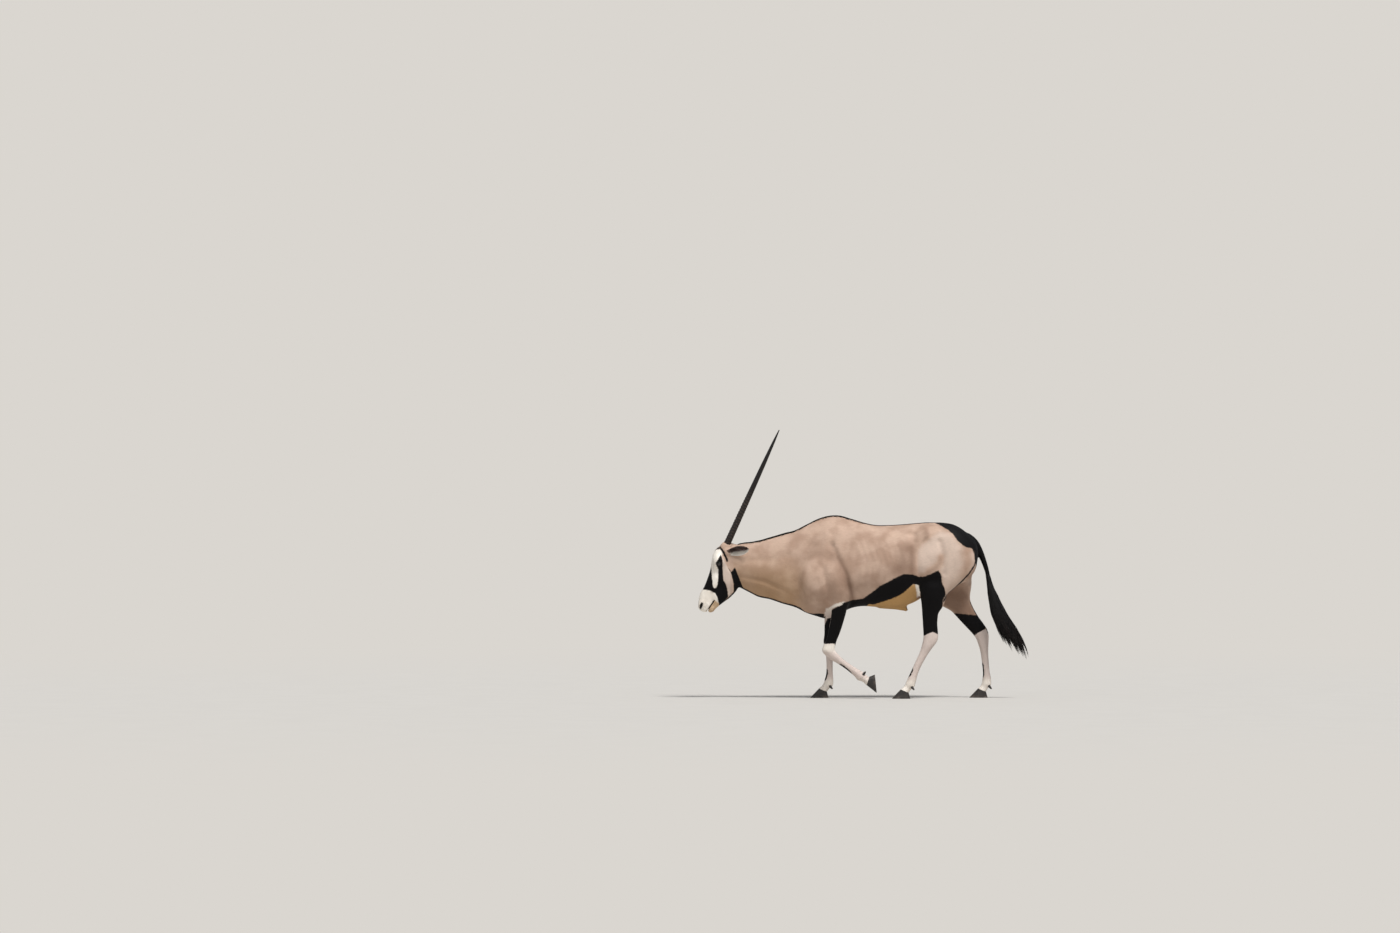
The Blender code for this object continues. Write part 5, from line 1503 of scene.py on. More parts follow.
def around_loop(values, count):
    """A closed loop through these points, eased from each to the next, with count points."""
    values = np.array(values, float)
    n = len(values)
    wrapped = np.concatenate([values[-3:], values, values[:3]])
    return eased(np.arange(n + 6), wrapped, 3 + np.arange(count) * n / count)


# Half a hoof's outline at the sole and at the coronet: shares of the hoof's length and width
SOLE = (
    (0.690, 0.26), (0.600, 0.62), (0.390, 0.92), (0.130, 1.00), (-0.120, 0.93), (-0.260, 0.68),
    (-0.310, 0.36), (-0.250, 0.10), (0.000, 0.07), (0.250, 0.07), (0.500, 0.09), (0.640, 0.13),
)
CROWN = (
    (0.235, 0.20), (0.215, 0.46), (0.150, 0.70), (0.050, 0.86), (-0.080, 0.86), (-0.180, 0.66),
    (-0.235, 0.36), (-0.220, 0.07), (-0.100, 0.05), (0.030, 0.05), (0.130, 0.05), (0.205, 0.08),
)


def claw(name, foot, side, material):
    """Half a cloven hoof: straight walls from the crown's outline to the sole's, with faint growth rings."""
    sin, cos = math.sin(CORONET_SLOPE), math.cos(CORONET_SLOPE)
    sole, crown = around_loop(SOLE, 56), around_loop(CROWN, 56)
    share = np.concatenate([np.linspace(-0.03, 0.95, 30), [0.985, 1.0, 1.0]])[:, None]
    inset = np.concatenate([np.zeros(30), [0.012, 0.05, 0.16]])[:, None]
    ripple = 0.00035 * np.sin(share * 34.0) * smooth(0.05, 0.2, share) * fall(0.8, 0.95, share)
    low = np.stack([
        (sole[:, 0] * (1 - inset)) * HOOF_LENGTH,
        (sole[:, 1] + (0.5 - sole[:, 1]) * inset * 2) * HOOF_WIDTH,
        np.full((len(share), len(sole)), -CORONET_HEIGHT)], axis=-1)
    along = crown[:, 0] * HOOF_LENGTH
    high = np.stack([along * cos, crown[:, 1] * HOOF_WIDTH, along * sin], axis=-1)[None]
    points = high + (low - high) * share[..., None]
    outward = low[:1] - low[:1].mean(axis=1, keepdims=True)
    outward /= np.linalg.norm(outward, axis=-1, keepdims=True)
    points = points + outward * ripple[..., None]
    obj = tube(name, foot.at(points[..., 0], side * points[..., 1], points[..., 2]), material)
    keep_on_tube(obj, "along", np.broadcast_to(share, points.shape[:2]), [0, 1])
    return obj


def dewclaw(name, foot, side, material):
    """A small horn cone behind the fetlock: an ellipse that grows a little and closes to a blunt tip."""
    start, end = np.array([-0.042, 0.017, 0.033]), np.array([-0.063, 0.021, 0.008])
    share = np.linspace(0.0, 1.0, 18)[:, None]
    angle = turns(20)[None]
    size = 0.0086 * np.sqrt(np.maximum(1.0 - np.maximum(share, 0.0) ** 2.6, 0.002)) * (0.9 + 0.1 * share)
    middle = start + (end - start) * share
    flat = np.array([0.72, 0.0, -0.55]) / math.hypot(0.72, 0.55)
    local = middle[:, None] + flat * (np.cos(angle) * size)[..., None]
    local = local + np.array([0.0, 1.0, 0.0]) * (np.sin(angle) * size * 0.9)[..., None]
    obj = tube(name, foot.at(local[..., 0], side * local[..., 1], local[..., 2]), material)
    keep_on_tube(obj, "along", np.repeat(share[:, 0], 20), [0, 1])
    return obj


def normals_at(points, faces):
    """Unit normals of a four-sided mesh at its points, from the faces around each."""
    corner = points[faces]
    face = np.cross(corner[:, 2] - corner[:, 0], corner[:, 3] - corner[:, 1])
    total = np.zeros_like(points)
    for i in range(4):
        np.add.at(total, faces[:, i], face)
    return total / np.maximum(np.linalg.norm(total, axis=1), 1e-12)[:, None]


def toward(direction, normal):
    """A direction pressed flat onto the skin."""
    flat = direction - normal * (direction * normal).sum(axis=1)[:, None]
    return flat / np.maximum(np.linalg.norm(flat, axis=1), 1e-9)[:, None]


# How far a lock's colour follows its own shape past the colour at its root: edges are ragged but neat
MARK_FOLLOWS = 0.65
# How wide a lock is along its length, as shares of its greatest width
TAPER = ((0.0, 0.35, 0.75, 1.0), (0.75, 1.0, 0.62, 0.0))
# The size of a lock's patch in the map, and how far its two edges lean outward from the skin's normal
PATCH, LEAN_OUT = 0.003, 0.35


def strands(name, paths, across, wide, thick, material, place, shade, normals=None):
    """Flat tapering locks as one mesh: three-sided rings along each path, closed at the root and the tip.

    Paths are an array of locks by points by 3; each ring has its two edges across the lock and its ridge on
    the outer side. The map OFBake holds each lock as a small patch at its root's place. Where normals are
    given, light falls on each lock as on the skin under it, so that short hair looks sleek.
    """
    count, steps = paths.shape[:2]
    tangent = np.gradient(paths, axis=1)
    tangent /= np.maximum(np.linalg.norm(tangent, axis=2), 1e-9)[..., None]
    across = np.broadcast_to(across[:, None], paths.shape) if across.ndim == 2 else across
    across = across - tangent * (across * tangent).sum(axis=2)[..., None]
    across /= np.maximum(np.linalg.norm(across, axis=2), 1e-9)[..., None]
    ridge = np.cross(tangent, across)
    share = np.linspace(0.0, 1.0, steps)
    taper = np.interp(share, *TAPER)
    w = (np.asarray(wide).reshape(-1, 1) * taper)[..., None] / 2
    t = (np.asarray(thick).reshape(-1, 1) * taper)[..., None]
    rings = np.stack([paths + across * w, paths + ridge * t, paths - across * w], axis=2)[:, :-1]
    points = np.concatenate([rings.reshape(count, -1, 3), paths[:, -1:]], axis=1)
    each = points.shape[1]
    local = [np.array([[2, 1, 0]])]
    quads = band_faces(steps - 1, 3)
    local.append(np.concatenate([quads[:, [0, 1, 2]], quads[:, [0, 2, 3]]]))
    base = (steps - 2) * 3
    local.append(np.array([[base + j, base + (j + 1) % 3, each - 1] for j in range(3)]))
    local = np.concatenate(local)
    faces = (np.arange(count)[:, None, None] * each + local[None]).reshape(-1, 3)
    obj = new_object(name, points.reshape(-1, 3), faces, material)
    if normals is not None:
        round_off = np.array([LEAN_OUT, 0.0, -LEAN_OUT])[None, :, None] * across[:, 0][:, None]
        facing = np.tile(normals[:, None] + round_off, (1, steps - 1, 1))
        facing = np.concatenate([facing, normals[:, None]], axis=1).reshape(-1, 3)
        obj.data.normals_split_custom_set_from_vertices(facing / np.linalg.norm(facing, axis=1)[:, None])
    keep_marks(obj, paths)
    keep_value(obj, "shade", np.repeat(shade, each))
    keep_value(obj, "tip", np.tile(np.append(np.repeat(share[:-1], 3), 1.0), count))
    across_patch = np.append(np.tile([0.0, 0.5, 1.0], steps - 1), 0.5)
    along_patch = np.append(np.repeat(share[:-1], 3), 1.0)
    patch = np.stack([across_patch, along_patch], axis=1) * PATCH
    spread = (place[:, None] * (1 - 2 * PATCH) + PATCH / 3 + patch[None]).reshape(-1, 2)
    corners = np.empty(len(obj.data.loops), np.int32)
    obj.data.loops.foreach_get("vertex_index", corners)
    layer = obj.data.uv_layers.new(name="OFBake")
    layer.uv.foreach_set("vector", spread[corners].astype(np.float32).ravel())
    return obj


def keep_marks(obj, paths):
    """Give the rings of each lock the skin's markings, taken nearer to the lock's root than the rings are."""
    count, steps = paths.shape[:2]
    places = paths[:, :1] + (paths - paths[:, :1]) * MARK_FOLLOWS
    for name, of in MARKS.items():
        values = of(places.reshape(-1, 3)).reshape(count, steps)
        by_ring = np.concatenate([np.repeat(values[:, :-1], 3, axis=1), values[:, -1:]], axis=1)
        keep_value(obj, name, by_ring.ravel())


def lie_of_trunk(p):
    """The way the hair lies on the trunk: back and a little down, and more downward low on the body."""
    down = 0.22 + 1.6 * fall(0.62, 0.86, p[:, 2]) * smooth(0.06, 0.12, np.abs(p[:, 1]))
    down += 0.8 * smooth(0.25, 0.42, p[:, 0]) * fall(0.60, 0.80, p[:, 2])
    down += 2.0 * smooth(0.62, 0.72, -p[:, 0]) * smooth(-1.10, -1.00, -p[:, 2])
    return np.stack([-np.ones(len(p)), np.zeros(len(p)), -down], axis=1)


def lie_of_legs(p):
    """The way the hair lies on the legs: down each limb, and down the folded cannon of the left fore leg."""
    way = np.tile([0.0, 0.0, -1.0], (len(p), 1))
    x, z, left = p[:, 0], p[:, 2], p[:, 1] > 0
    past_knee = (x - 0.205) * -0.76 + (z - 0.29) * -0.65 > 0
    way[left & (x > -0.15) & past_knee] = (-0.78, 0.0, -0.62)
    way[left & (x < -0.15) & (z < 0.36)] = (0.40, 0.0, -0.91)
    way[~left & (x < -0.50) & (z > 0.38)] = (-0.60, 0.0, -0.80)
    return way


def lie_of_head(p):
    """The way the hair lies on the head: down the face from the brow, and back over the cheek and jaw."""
    local = HEAD.inward(p)
    back = 0.15 + 1.5 * fall(-0.08, 0.03, local[:, 2])
    way = np.stack([np.ones(len(p)), np.zeros(len(p)), -back], axis=1)
    return way @ HEAD.axes


# The share of tufts whose tips stand off the coat, and how many times further they do
STRAY_SHARE, STRAY_LIFT = 0.06, 6.0


def flat_tufts(name, roots, normals, lie, seed, place):
    """Short hair pressed to the skin: each tuft leaves its root, arches a little and lies along the lie."""
    draw = np.random.default_rng(seed)
    count = len(roots)
    length, wide, lift = tuft_sizes(roots).T
    length = length * draw.uniform(0.75, 1.25, count)
    flat = toward(lie(roots), normals)
    side = np.cross(normals, flat)
    turn = draw.normal(0.0, 0.13, count)
    flat = flat * np.cos(turn)[:, None] + side * np.sin(turn)[:, None]
    side = np.cross(normals, flat)
    paths = np.empty((count, 3, 3))
    stray = np.where(draw.random(count) < STRAY_SHARE, STRAY_LIFT, draw.uniform(0.2, 1.2, count))
    for i, (share, rise) in enumerate(((0.0, -0.5), (0.48, 1.0), (1.0, 0.45))):
        point = roots + flat * (length * share)[:, None]
        if share:
            point -= normals * skin_field(point)[:, None]
        paths[:, i] = point + normals * (rise * lift * (stray if share == 1.0 else 1.0))[:, None]
    shade = draw.normal(0.5, 0.28, count)
    wide = wide * draw.uniform(0.8, 1.2, count)
    return strands(name, paths, side, wide, wide * 0.12, COAT, place, shade, normals)
# The pale mark also holds painted light and painted shade, and the tan mark painted reflection and painted
# shade
MARKS = {"black": black_marks, "white": white_marks, "pale": pale_and_shade_marks, "tan": tan_and_painted_light_marks, "limb": limb_share}


def hair_material(name, dark, light, by_tip=1.0):
    """Long hair: each strand lies between the dark and the light colour, and may change toward its tip."""
    material, tree, shader = new_material(
        name, Metallic=0.0, IOR=1.5, Specular_IOR_Level=0.3, Sheen_Weight=0.02, Roughness=0.5)
    tip = plus(tree, times(tree, value_of(tree, "tip"), by_tip), 1.0 - by_tip)
    vary = times(tree, value_of(tree, "shade"), tip)
    shade_with(shader, Base_Color=mixed(tree, ranged(tree, vary, 0.1, 0.9), dark, light))
    return material


def horn_material():
    """Keratin: nearly black, fibrous along its length, worn paler on the rings and polished at the tip."""
    material, tree, shader = new_material("horn_keratin", Metallic=0.0, IOR=1.55, Specular_IOR_Level=0.35)
    fibre = fibres(tree, place_of(tree), (260.0, 500.0, 45.0), 3.0, (0.14, -0.42, 0.0))
    along = value_of(tree, "along")
    worn = times(tree, value_of(tree, "ridge"), ranged(tree, fibre, 0.35, 0.75))
    colour = mixed(tree, worn, "#120B08", "#55443A")
    colour = mixed(tree, ranged(tree, along, 0.5, 1.0, 0.0, 0.8), colour, "#0A0706")
    shade_with(shader, Base_Color=colour, Roughness=ranged(tree, along, 0.3, 0.9, 0.52, 0.30))
    bumped(tree, shader, fibre, 0.5, 0.0006)
    return material


def hoof_material():
    """Hoof horn: dark grey-brown, dusty above and at the ground, with growth rings across it."""
    material, tree, shader = new_material("hoof_horn", Metallic=0.0, IOR=1.5)
    along = value_of(tree, "along")
    rings = bands(tree, along, 5.0, 0.6)
    dust = noise(tree, place_of(tree), 38.0, 4.0, 0.65)
    low = ranged(tree, along, 0.55, 1.0, 0.0, 0.45)
    dusty = times(tree, ranged(tree, dust, 0.35, 0.75), plus(tree, low, 0.10))
    colour = mixed(tree, dusty, mixed(tree, rings, "#201C1A", "#2D2825"), "#6F6155")
    shade_with(shader, Base_Color=colour, Roughness=ranged(tree, dust, 0.3, 0.7, 0.42, 0.62))
    bumped(tree, shader, rings, 0.25, 0.0005)
    return material


def eye_material():
    """A wet eye: a level oval pupil in a dark brown iris with a black rim, under a clear coat."""
    material, tree, shader = new_material(
        "wet_eye", Metallic=0.0, IOR=1.38, Roughness=0.12,
        Coat_Weight=1.0, Coat_Roughness=0.02, Coat_IOR=1.38)
    spokes = bands(tree, value_of(tree, "around"), 9.0, 2.0)
    iris = value_of(tree, "iris")
    colour = mixed(tree, spokes, "#100906", "#1F120B")
    colour = mixed(tree, ranged(tree, iris, 0.80, 1.0), colour, "#0C0706")
    colour = mixed(tree, ranged(tree, iris, 1.08, 1.35), colour, "#2A1D18")
    colour = mixed(tree, ranged(tree, value_of(tree, "pupil"), 1.12, 0.92), colour, "#040303")
    shade_with(shader, Base_Color=colour)
    return material


def ear_material():
    """The ear's leaf: dark hair on its back and tip, greyish skin with fine hair inside darkened by painted
    shade of the cup's hollow, a white edge.
    """
    material, tree, shader = new_material(
        "ear_hair", Metallic=0.0, IOR=1.45, Roughness=0.8, Sheen_Weight=0.2, Subsurface_Weight=0.0)
    strand = fibres(tree, place_of(tree), (60.0, 500.0, 500.0), 3.0)
    along, cup, edge = (value_of(tree, name) for name in ("along", "in_cup", "edge"))
    far = plus(tree, along, swing(tree, strand, 0.25))
    back = mixed(tree, ranged(tree, far, 0.15, 0.75), "#A58C7B", "#3A2C28")
    # Inside the cup: greyish skin, darkened by painted shade of the hollow
    inner = mixed(tree, ranged(tree, strand, 0.35, 0.7), "#4A3532", "#7A625A")
    colour = mixed(tree, ranged(tree, cup, 0.02, 0.30), back, inner)
    ragged = plus(tree, edge, swing(tree, strand, 0.5))
    colour = mixed(tree, ranged(tree, ragged, *EAR_WHITE_EDGE), colour, "#E6DED4")
    shade_with(shader, Base_Color=colour)
    bumped(tree, shader, strand, 0.6, 0.0008)
    return material


# Length, width and lift of the tufts on the trunk, low on the legs and on the face, in metres
TRUNK_TUFT = (0.0190, 0.0040, 0.00035)
LEG_TUFT = (0.0100, 0.0023, 0.0003)
FACE_TUFT = (0.0072, 0.0018, 0.0002)
# Height of the middle of the trunk, round which its tufts are laid out in the map
TRUNK_MIDDLE = 0.86
# How many pieces each part's tufts are kept in, and the tufts in each
COAT_PIECES = {"trunk": 4, "legs": 1, "head": 1}
PIECE_TUFTS = 19900
# The numbers that seed the draws of roots and of tufts in each part
ROOT_SEEDS = {"trunk": 21, "legs": 22, "head": 27}
TUFT_SEEDS = {"trunk": 30, "legs": 40, "head": 28}
TIP_OF_NOSE = HEAD.outward((0.415, 0.0, 0.005))
LEG_REGIONS = list(FEET)


def turn_share(y, z):
    """The angle round an axis along X, as a share of a full turn."""
    return np.arctan2(y, z) / (2 * math.pi) + 0.5


def tuft_sizes(p):
    """Length, width and lift of the tufts, which shrink down the legs and up the neck to the face."""
    leg = fall(0.40, 0.66, p[:, 2])[:, None]
    face = smooth(0.50, 0.86, p[:, 0])[:, None]
    sizes = np.array(TRUNK_TUFT) + (np.array(LEG_TUFT) - TRUNK_TUFT) * leg
    sizes = sizes + (np.array(FACE_TUFT) - sizes) * face
    fine = 1.0 + 0.25 * fall(0.025, 0.06, np.linalg.norm(p - TIP_OF_NOSE, axis=1))
    return sizes / fine[:, None]


def scattered(regions, names, keep, count, seed):
    """Roots spread over the kept faces of these regions, closest where tufts are smallest.

    Returns the roots, the skin's normals there and the number of the region each one is in.
    """
    roots, normals, whose = [], [], []
    for i, name in enumerate(names):
        points, faces = regions[name]
        faces = faces[keep(points[faces].mean(axis=1))]
        roots.append(points[faces])
        normals.append(normals_at(points, faces)[faces])
        whose.append(np.full(len(faces), i))
    roots, normals, whose = map(np.concatenate, (roots, normals, whose))
    size = np.linalg.norm(np.cross(roots[:, 2] - roots[:, 0], roots[:, 3] - roots[:, 1]), axis=1)
    size /= tuft_sizes(roots.mean(axis=1))[:, 1] ** 1.6
    draw = np.random.default_rng(seed)
    steps = (np.arange(count) + draw.random(count)) / count
    chosen = np.minimum(np.searchsorted(np.cumsum(size) / size.sum(), steps), len(size) - 1)
    u, v = draw.random((2, count, 1))

    def spread(four):
        near = four[:, 0] * (1 - u) + four[:, 1] * u
        return near * (1 - v) + (four[:, 3] * (1 - u) + four[:, 2] * u) * v

    point, normal = spread(roots[chosen]), spread(normals[chosen])
    return point, normal / np.linalg.norm(normal, axis=1)[:, None], whose[chosen]


def on_trunk(p):
    """Faces of the trunk that grow short hair: above the legs' joins, behind the head's, not on the tail."""
    return (p[:, 2] > LEG_TOP) & (p[:, 0] < HEAD_BACK) & ~((p[:, 0] < -0.75) & (p[:, 2] < 0.79))


def on_legs(p):
    """Faces of the legs that grow hair: below their joins to the trunk and above the hooves' coronets."""
    kept = p[:, 2] < LEG_TOP
    for foot in FEET.values():
        x, z = turned(-foot.pitch, p[:, 0] - foot.coronet[0], p[:, 2] - foot.coronet[1])
        near = (np.hypot(x, z) < 0.07) & (np.abs(p[:, 1] - foot.track) < 0.06)
        kept &= ~near | (z > x * math.tan(CORONET_SLOPE) + 0.005)
    return kept


def on_head(p):
    """Faces of the head that grow hair."""
    return (p[:, 0] > HEAD_BACK - 0.01) & clear_of_features(p)


def coat(regions):
    """All the short hair, in pieces along the trunk, on the legs and on the head."""
    each = PIECE_TUFTS // 1

    def roots_on(part, names, keep):
        return scattered(regions, names, keep, each * COAT_PIECES[part], ROOT_SEEDS[part])

    pieces = []
    points, normals, _ = roots_on("trunk", ["trunk"], on_trunk)
    for i, chosen in enumerate(np.array_split(np.argsort(points[:, 0]), COAT_PIECES["trunk"])):
        roots = points[chosen]
        low, high = roots[:, 0].min(), roots[:, 0].max()
        turn = turn_share(roots[:, 1], roots[:, 2] - TRUNK_MIDDLE)
        place = np.stack([(roots[:, 0] - low) / (high - low), turn], axis=1)
        seed = TUFT_SEEDS["trunk"] + i
        pieces.append(flat_tufts(f"coat_trunk_{i + 1}", roots, normals[chosen], lie_of_trunk, seed, place))
    roots, normals, leg = roots_on("legs", LEG_REGIONS, on_legs)
    middle = np.array([roots[leg == i].mean(axis=0) for i in range(4)])[leg]
    turn = turn_share(roots[:, 1] - middle[:, 1], roots[:, 0] - middle[:, 0])
    place = np.stack([(leg + turn) / 4, roots[:, 2] / LEG_TOP], axis=1)
    pieces.append(flat_tufts("coat_legs", roots, normals, lie_of_legs, TUFT_SEEDS["legs"], place))
    roots, normals, _ = roots_on("head", ["head"], on_head)
    local = HEAD.inward(roots)
    turn = turn_share(local[:, 1], local[:, 2] + 0.06)
    place = np.stack([np.clip((local[:, 0] + 0.06) / 0.52, 0, 1), turn], axis=1)
    pieces.append(flat_tufts("coat_head", roots, normals, lie_of_head, TUFT_SEEDS["head"], place))
    return pieces


def clear_of_features(p):
    """Which points of the head grow hair: those off the eye, the nostril, the mouth and the horn's foot."""
    local = HEAD.inward(p)
    eye = np.linalg.norm((local - (EYE_DOWN, 0, EYE_OUT))[:, [0, 2]] / (0.021, 0.0145), axis=1) > 1
    eye |= np.abs(local[:, 1]) < 0.045
    nostril = off_nostril(local, (0.028, 0.016, 0.013)) > 1
    away, above = off_mouth(local)
    mouth = (away > 0.0055) | (above > 0.004)
    off_horn = np.stack([p[:, 0], np.abs(p[:, 1]), p[:, 2]], axis=1) - HORN_BASE
    return eye & nostril & mouth & (np.linalg.norm(off_horn, axis=1) > 0.027)


# How far the mane and the line of dark hair along the back stand above the skin, by X
MANE_HEIGHT = (
    (-0.470, 0.0010), (-0.400, 0.0035), (-0.050, 0.0042), (0.030, 0.0050), (0.140, 0.0042), (0.350, 0.0042),
    (0.420, 0.0065), (0.530, 0.0105), (0.660, 0.0095), (0.740, 0.0080), (0.790, 0.0065), (0.820, 0.0030),
)


MANE_FRONT, MANE_REAR, MANE_ROOT = 0.815, -0.46, 0.0015


def paths_of(steps, at):
    """Paths with this many points, from the places of all the hairs at each share of their length."""
    return np.stack([at(share) for share in np.linspace(0.0, 1.0, steps)], axis=1)


def mane(material):
    """Short hair in a narrow line along the crest and the back: it rises from its root and lies back."""
    draw = np.random.default_rng(51)
    count = 5600
    x = MANE_FRONT - (MANE_FRONT - MANE_REAR) * draw.random(count) ** 1.1
    heights = np.array(MANE_HEIGHT)
    height = np.interp(x, heights[:, 0], heights[:, 1]) * draw.uniform(0.55, 1.10, count)
    length = (0.018 + 1.1 * height) * draw.uniform(0.85, 1.15, count)
    spread = 0.0050 + 0.0045 * fall(-0.05, 0.25, x)
    off = draw.normal(0.0, 1.0, count) * spread
    roots = np.stack([x, off, TRUNK.level(BACK, x)], axis=1)
    for _ in range(3):
        roots[:, 2] -= skin_field(roots)
    roots[:, 2] -= MANE_ROOT
    slope = (TRUNK.level(BACK, x - 0.02) - TRUNK.level(BACK, x + 0.02)) / 0.04
    lean = off / spread * 0.10 + draw.normal(0.0, 0.05, count)

    def at(share):
        go = length * share
        up = (height + MANE_ROOT) * (1 - (1 - share) ** 2.2) * (1.0 - 0.12 * share)
        return roots + np.stack([-go, lean * go, slope * go + up], axis=1)

    across = np.tile([0.0, 1.0, 0.0], (count, 1))
    place = np.stack([(x - MANE_REAR) / 1.28, np.clip(0.5 + off / 0.06, 0, 1)], axis=1)
    wide = draw.uniform(0.0018, 0.0028, count)
    shade = draw.uniform(0.0, 1.0, count)
    return strands("mane_hair", paths_of(5, at), across, wide, 0.0009, material, place, shade)


# The tail hair seen from the side: height, X of its front and rear edges, and half its width
TUFT = mm(
    (230, -975, -1094, 30), (270, -950, -1096, 36), (330, -918, -1078, 40), (400, -888, -1048, 43),
    (470, -865, -1008, 45), (542.5, -837, -957, 42), (613, -825, -916.5, 35), (678, -816, -884, 27),
    (730, -812, -856, 20), (775, -807.5, -843.5, 15.5), (840, -795, -828, 16.5), (880, -783, -815, 16.5),
)


def tuft_points(height, across, side):
    """Places in the tail hair: across runs from -1 at its front edge to 1 at its rear, side to its left."""
    rows = np.array(TUFT)
    front, rear, half = np.moveaxis(eased(rows[:, 0], rows[:, 1:], height), -1, 0)
    return np.stack([(front + rear) / 2 + (rear - front) / 2 * across, half * side, height], axis=-1)


# How many locks the tail hair parts into, each turned from the last by the golden angle
TAIL_LOCKS, GOLDEN_ANGLE = 46, 2.399963


def tail_hair(material):
    """Long hair from the end of the dock: paths that fan out with the tuft's outline and part into locks."""
    draw = np.random.default_rng(61)
    count = 3600
    lock = draw.integers(0, TAIL_LOCKS, count)
    lock_angle = np.arange(TAIL_LOCKS) * GOLDEN_ANGLE
    lock_out = np.sqrt((np.arange(TAIL_LOCKS) + 0.5) / TAIL_LOCKS)
    lock_end = 0.305 - 0.055 * np.cos(lock_angle) * lock_out + draw.uniform(-0.02, 0.07, TAIL_LOCKS)
    middle = np.stack([np.cos(lock_angle), np.sin(lock_angle)], axis=1) * lock_out[:, None]
    loose = np.sqrt(draw.random(count))[:, None]
    angle = draw.random(count) * 2 * math.pi
    own = np.stack([np.cos(angle), np.sin(angle)], axis=1) * loose
    start = 0.862 - 0.265 * draw.random(count) ** 0.8
    end = lock_end[lock] + draw.uniform(-0.015, 0.06, count)
    end = np.where(draw.random(count) < 0.22, end + draw.uniform(0.05, 0.20, count), end)

    def at(share):
        gather = smooth(0.25, 0.95, share)
        spread = own * (1 - gather) * 0.92 + (middle[lock] * 0.93 + own * 0.10 * (1.15 - share)) * gather
        wave = 0.035 * np.sin(share * 6.0 + lock) * gather + 0.02 * np.sin(share * 9.0 + angle)
        height = start + (end - start) * share
        inward = 0.62 + 0.38 * smooth(0.0, 0.12, share)
        return tuft_points(height, spread[:, 0] * inward + wave, spread[:, 1] * inward + wave * 0.5)

    across = np.stack([-own[:, 1], own[:, 0], np.zeros(count)], axis=1) + draw.normal(0, 0.2, (count, 3))
    place = np.stack([angle / (2 * math.pi), (start - 0.58) / 0.27], axis=1)
    wide = draw.uniform(0.0026, 0.0042, count)
    shade = draw.uniform(0.0, 1.0, count)
    return strands("tail_hair", paths_of(9, at), across, wide, 0.0012, material, place, shade)


# Rings of the dock's end, from the top: their height, and their size as a share of the tuft's
DOCK_CORE = ((0.790, 0.30), (0.775, 0.55), (0.70, 0.62), (0.62, 0.60), (0.54, 0.5), (0.48, 0.3))


def dock_core(material):
    """The end of the dock inside the tail hair: rings that shrink inside the tuft's outline."""
    angle = turns(24)
    rings = [
        tuft_points(np.full(24, height), np.cos(angle) * size, np.sin(angle) * size)
        for height, size in DOCK_CORE
    ]
    return tube("tail_core", np.array(rings), material)


def lashes(material):
    """Black lashes along the upper lid, longest over its middle, bent down at the tips."""
    draw = np.random.default_rng(71)
    made = []
    for side in SIDES:
        loop, around, look = eye_opening(side, 240)
        forehead = np.array(HEAD.axes[2]) * 0.8 - np.array(HEAD.axes[0]) * 0.6
        height = around @ forehead
        chosen = np.flatnonzero(height > 0.25)
        count = len(chosen)
        roots, away, tall = loop[chosen], around[chosen], height[chosen]
        length = 0.004 + 0.010 * smooth(0.2, 0.9, tall) * draw.uniform(0.8, 1.1, count)

        def at(share):
            out = (look * (1.0 - 0.3 * share) + away * (0.55 * share)) - forehead * 0.35 * share ** 2
            return roots + out * (length * share)[:, None]

        across = np.cross(away, np.broadcast_to(look, away.shape))
        place = np.stack([np.linspace(0, 1, count), np.full(count, 0.5)], axis=1)
        name = f"lashes_{SIDES[side]}"
        made.append(strands(name, paths_of(5, at), across, 0.0006, 0.0004, material, place, np.zeros(count)))
    return made


def ear_fringe(material):
    """Pale hair along the ear's edges and long soft hair inside its cup."""
    draw = np.random.default_rng(81)
    made = []
    table = np.array(EAR)
    count = 900
    for side in SIDES:
        _, along, out, wide = ear_frame(side)
        share = draw.uniform(0.02, 0.93, count)
        half, deep, cup = eased(table[:, 0], table[:, 1:], share).T
        edge = np.where(draw.random(count) < 0.5, 1.0, -1.0)
        rim = draw.random(count) < 0.55
        turn = np.where(rim, edge * math.radians(86), np.radians(draw.uniform(-70, 70, count)))
        wall = np.where(rim, 0.0, EAR_WALL)
        inward = (deep - wall) * np.cos(turn) * np.where(rim, 1.0, cup)
        roots = ear_places(side, share, half * np.sin(turn), inward)
        length = np.where(rim, 0.009, 0.016) * draw.uniform(0.7, 1.2, count) * (1.1 - 0.5 * share)
        sway = draw.normal(0.0, 0.25, count)[:, None]
        from_rim = wide * (edge * 0.35)[:, None] + out * 0.30
        from_cup = out * 0.55 - wide * np.sin(turn)[:, None] * 0.5
        way = along + np.where(rim[:, None], from_rim, from_cup) + wide * sway * 0.5
        way /= np.linalg.norm(way, axis=1)[:, None]

        def at(part):
            bend = along * (0.5 * part ** 2) - out * 0.12 * part ** 2
            return roots + (way + bend) * (length * part)[:, None] - way * 0.0008 * (part == 0)

        low = smooth(-0.1, 0.5, np.where(rim, edge, np.sin(turn)) * side)
        shade = np.clip(low + draw.normal(0.0, 0.12, count), 0.0, 1.0)
        across = np.cross(way, np.broadcast_to(out, way.shape))
        place = np.stack([share, turn / math.pi + 0.5], axis=1)
        name = f"ear_fringe_{SIDES[side]}"
        made.append(strands(name, paths_of(4, at), across, 0.0013, 0.0005, material, place, shade))
    return made


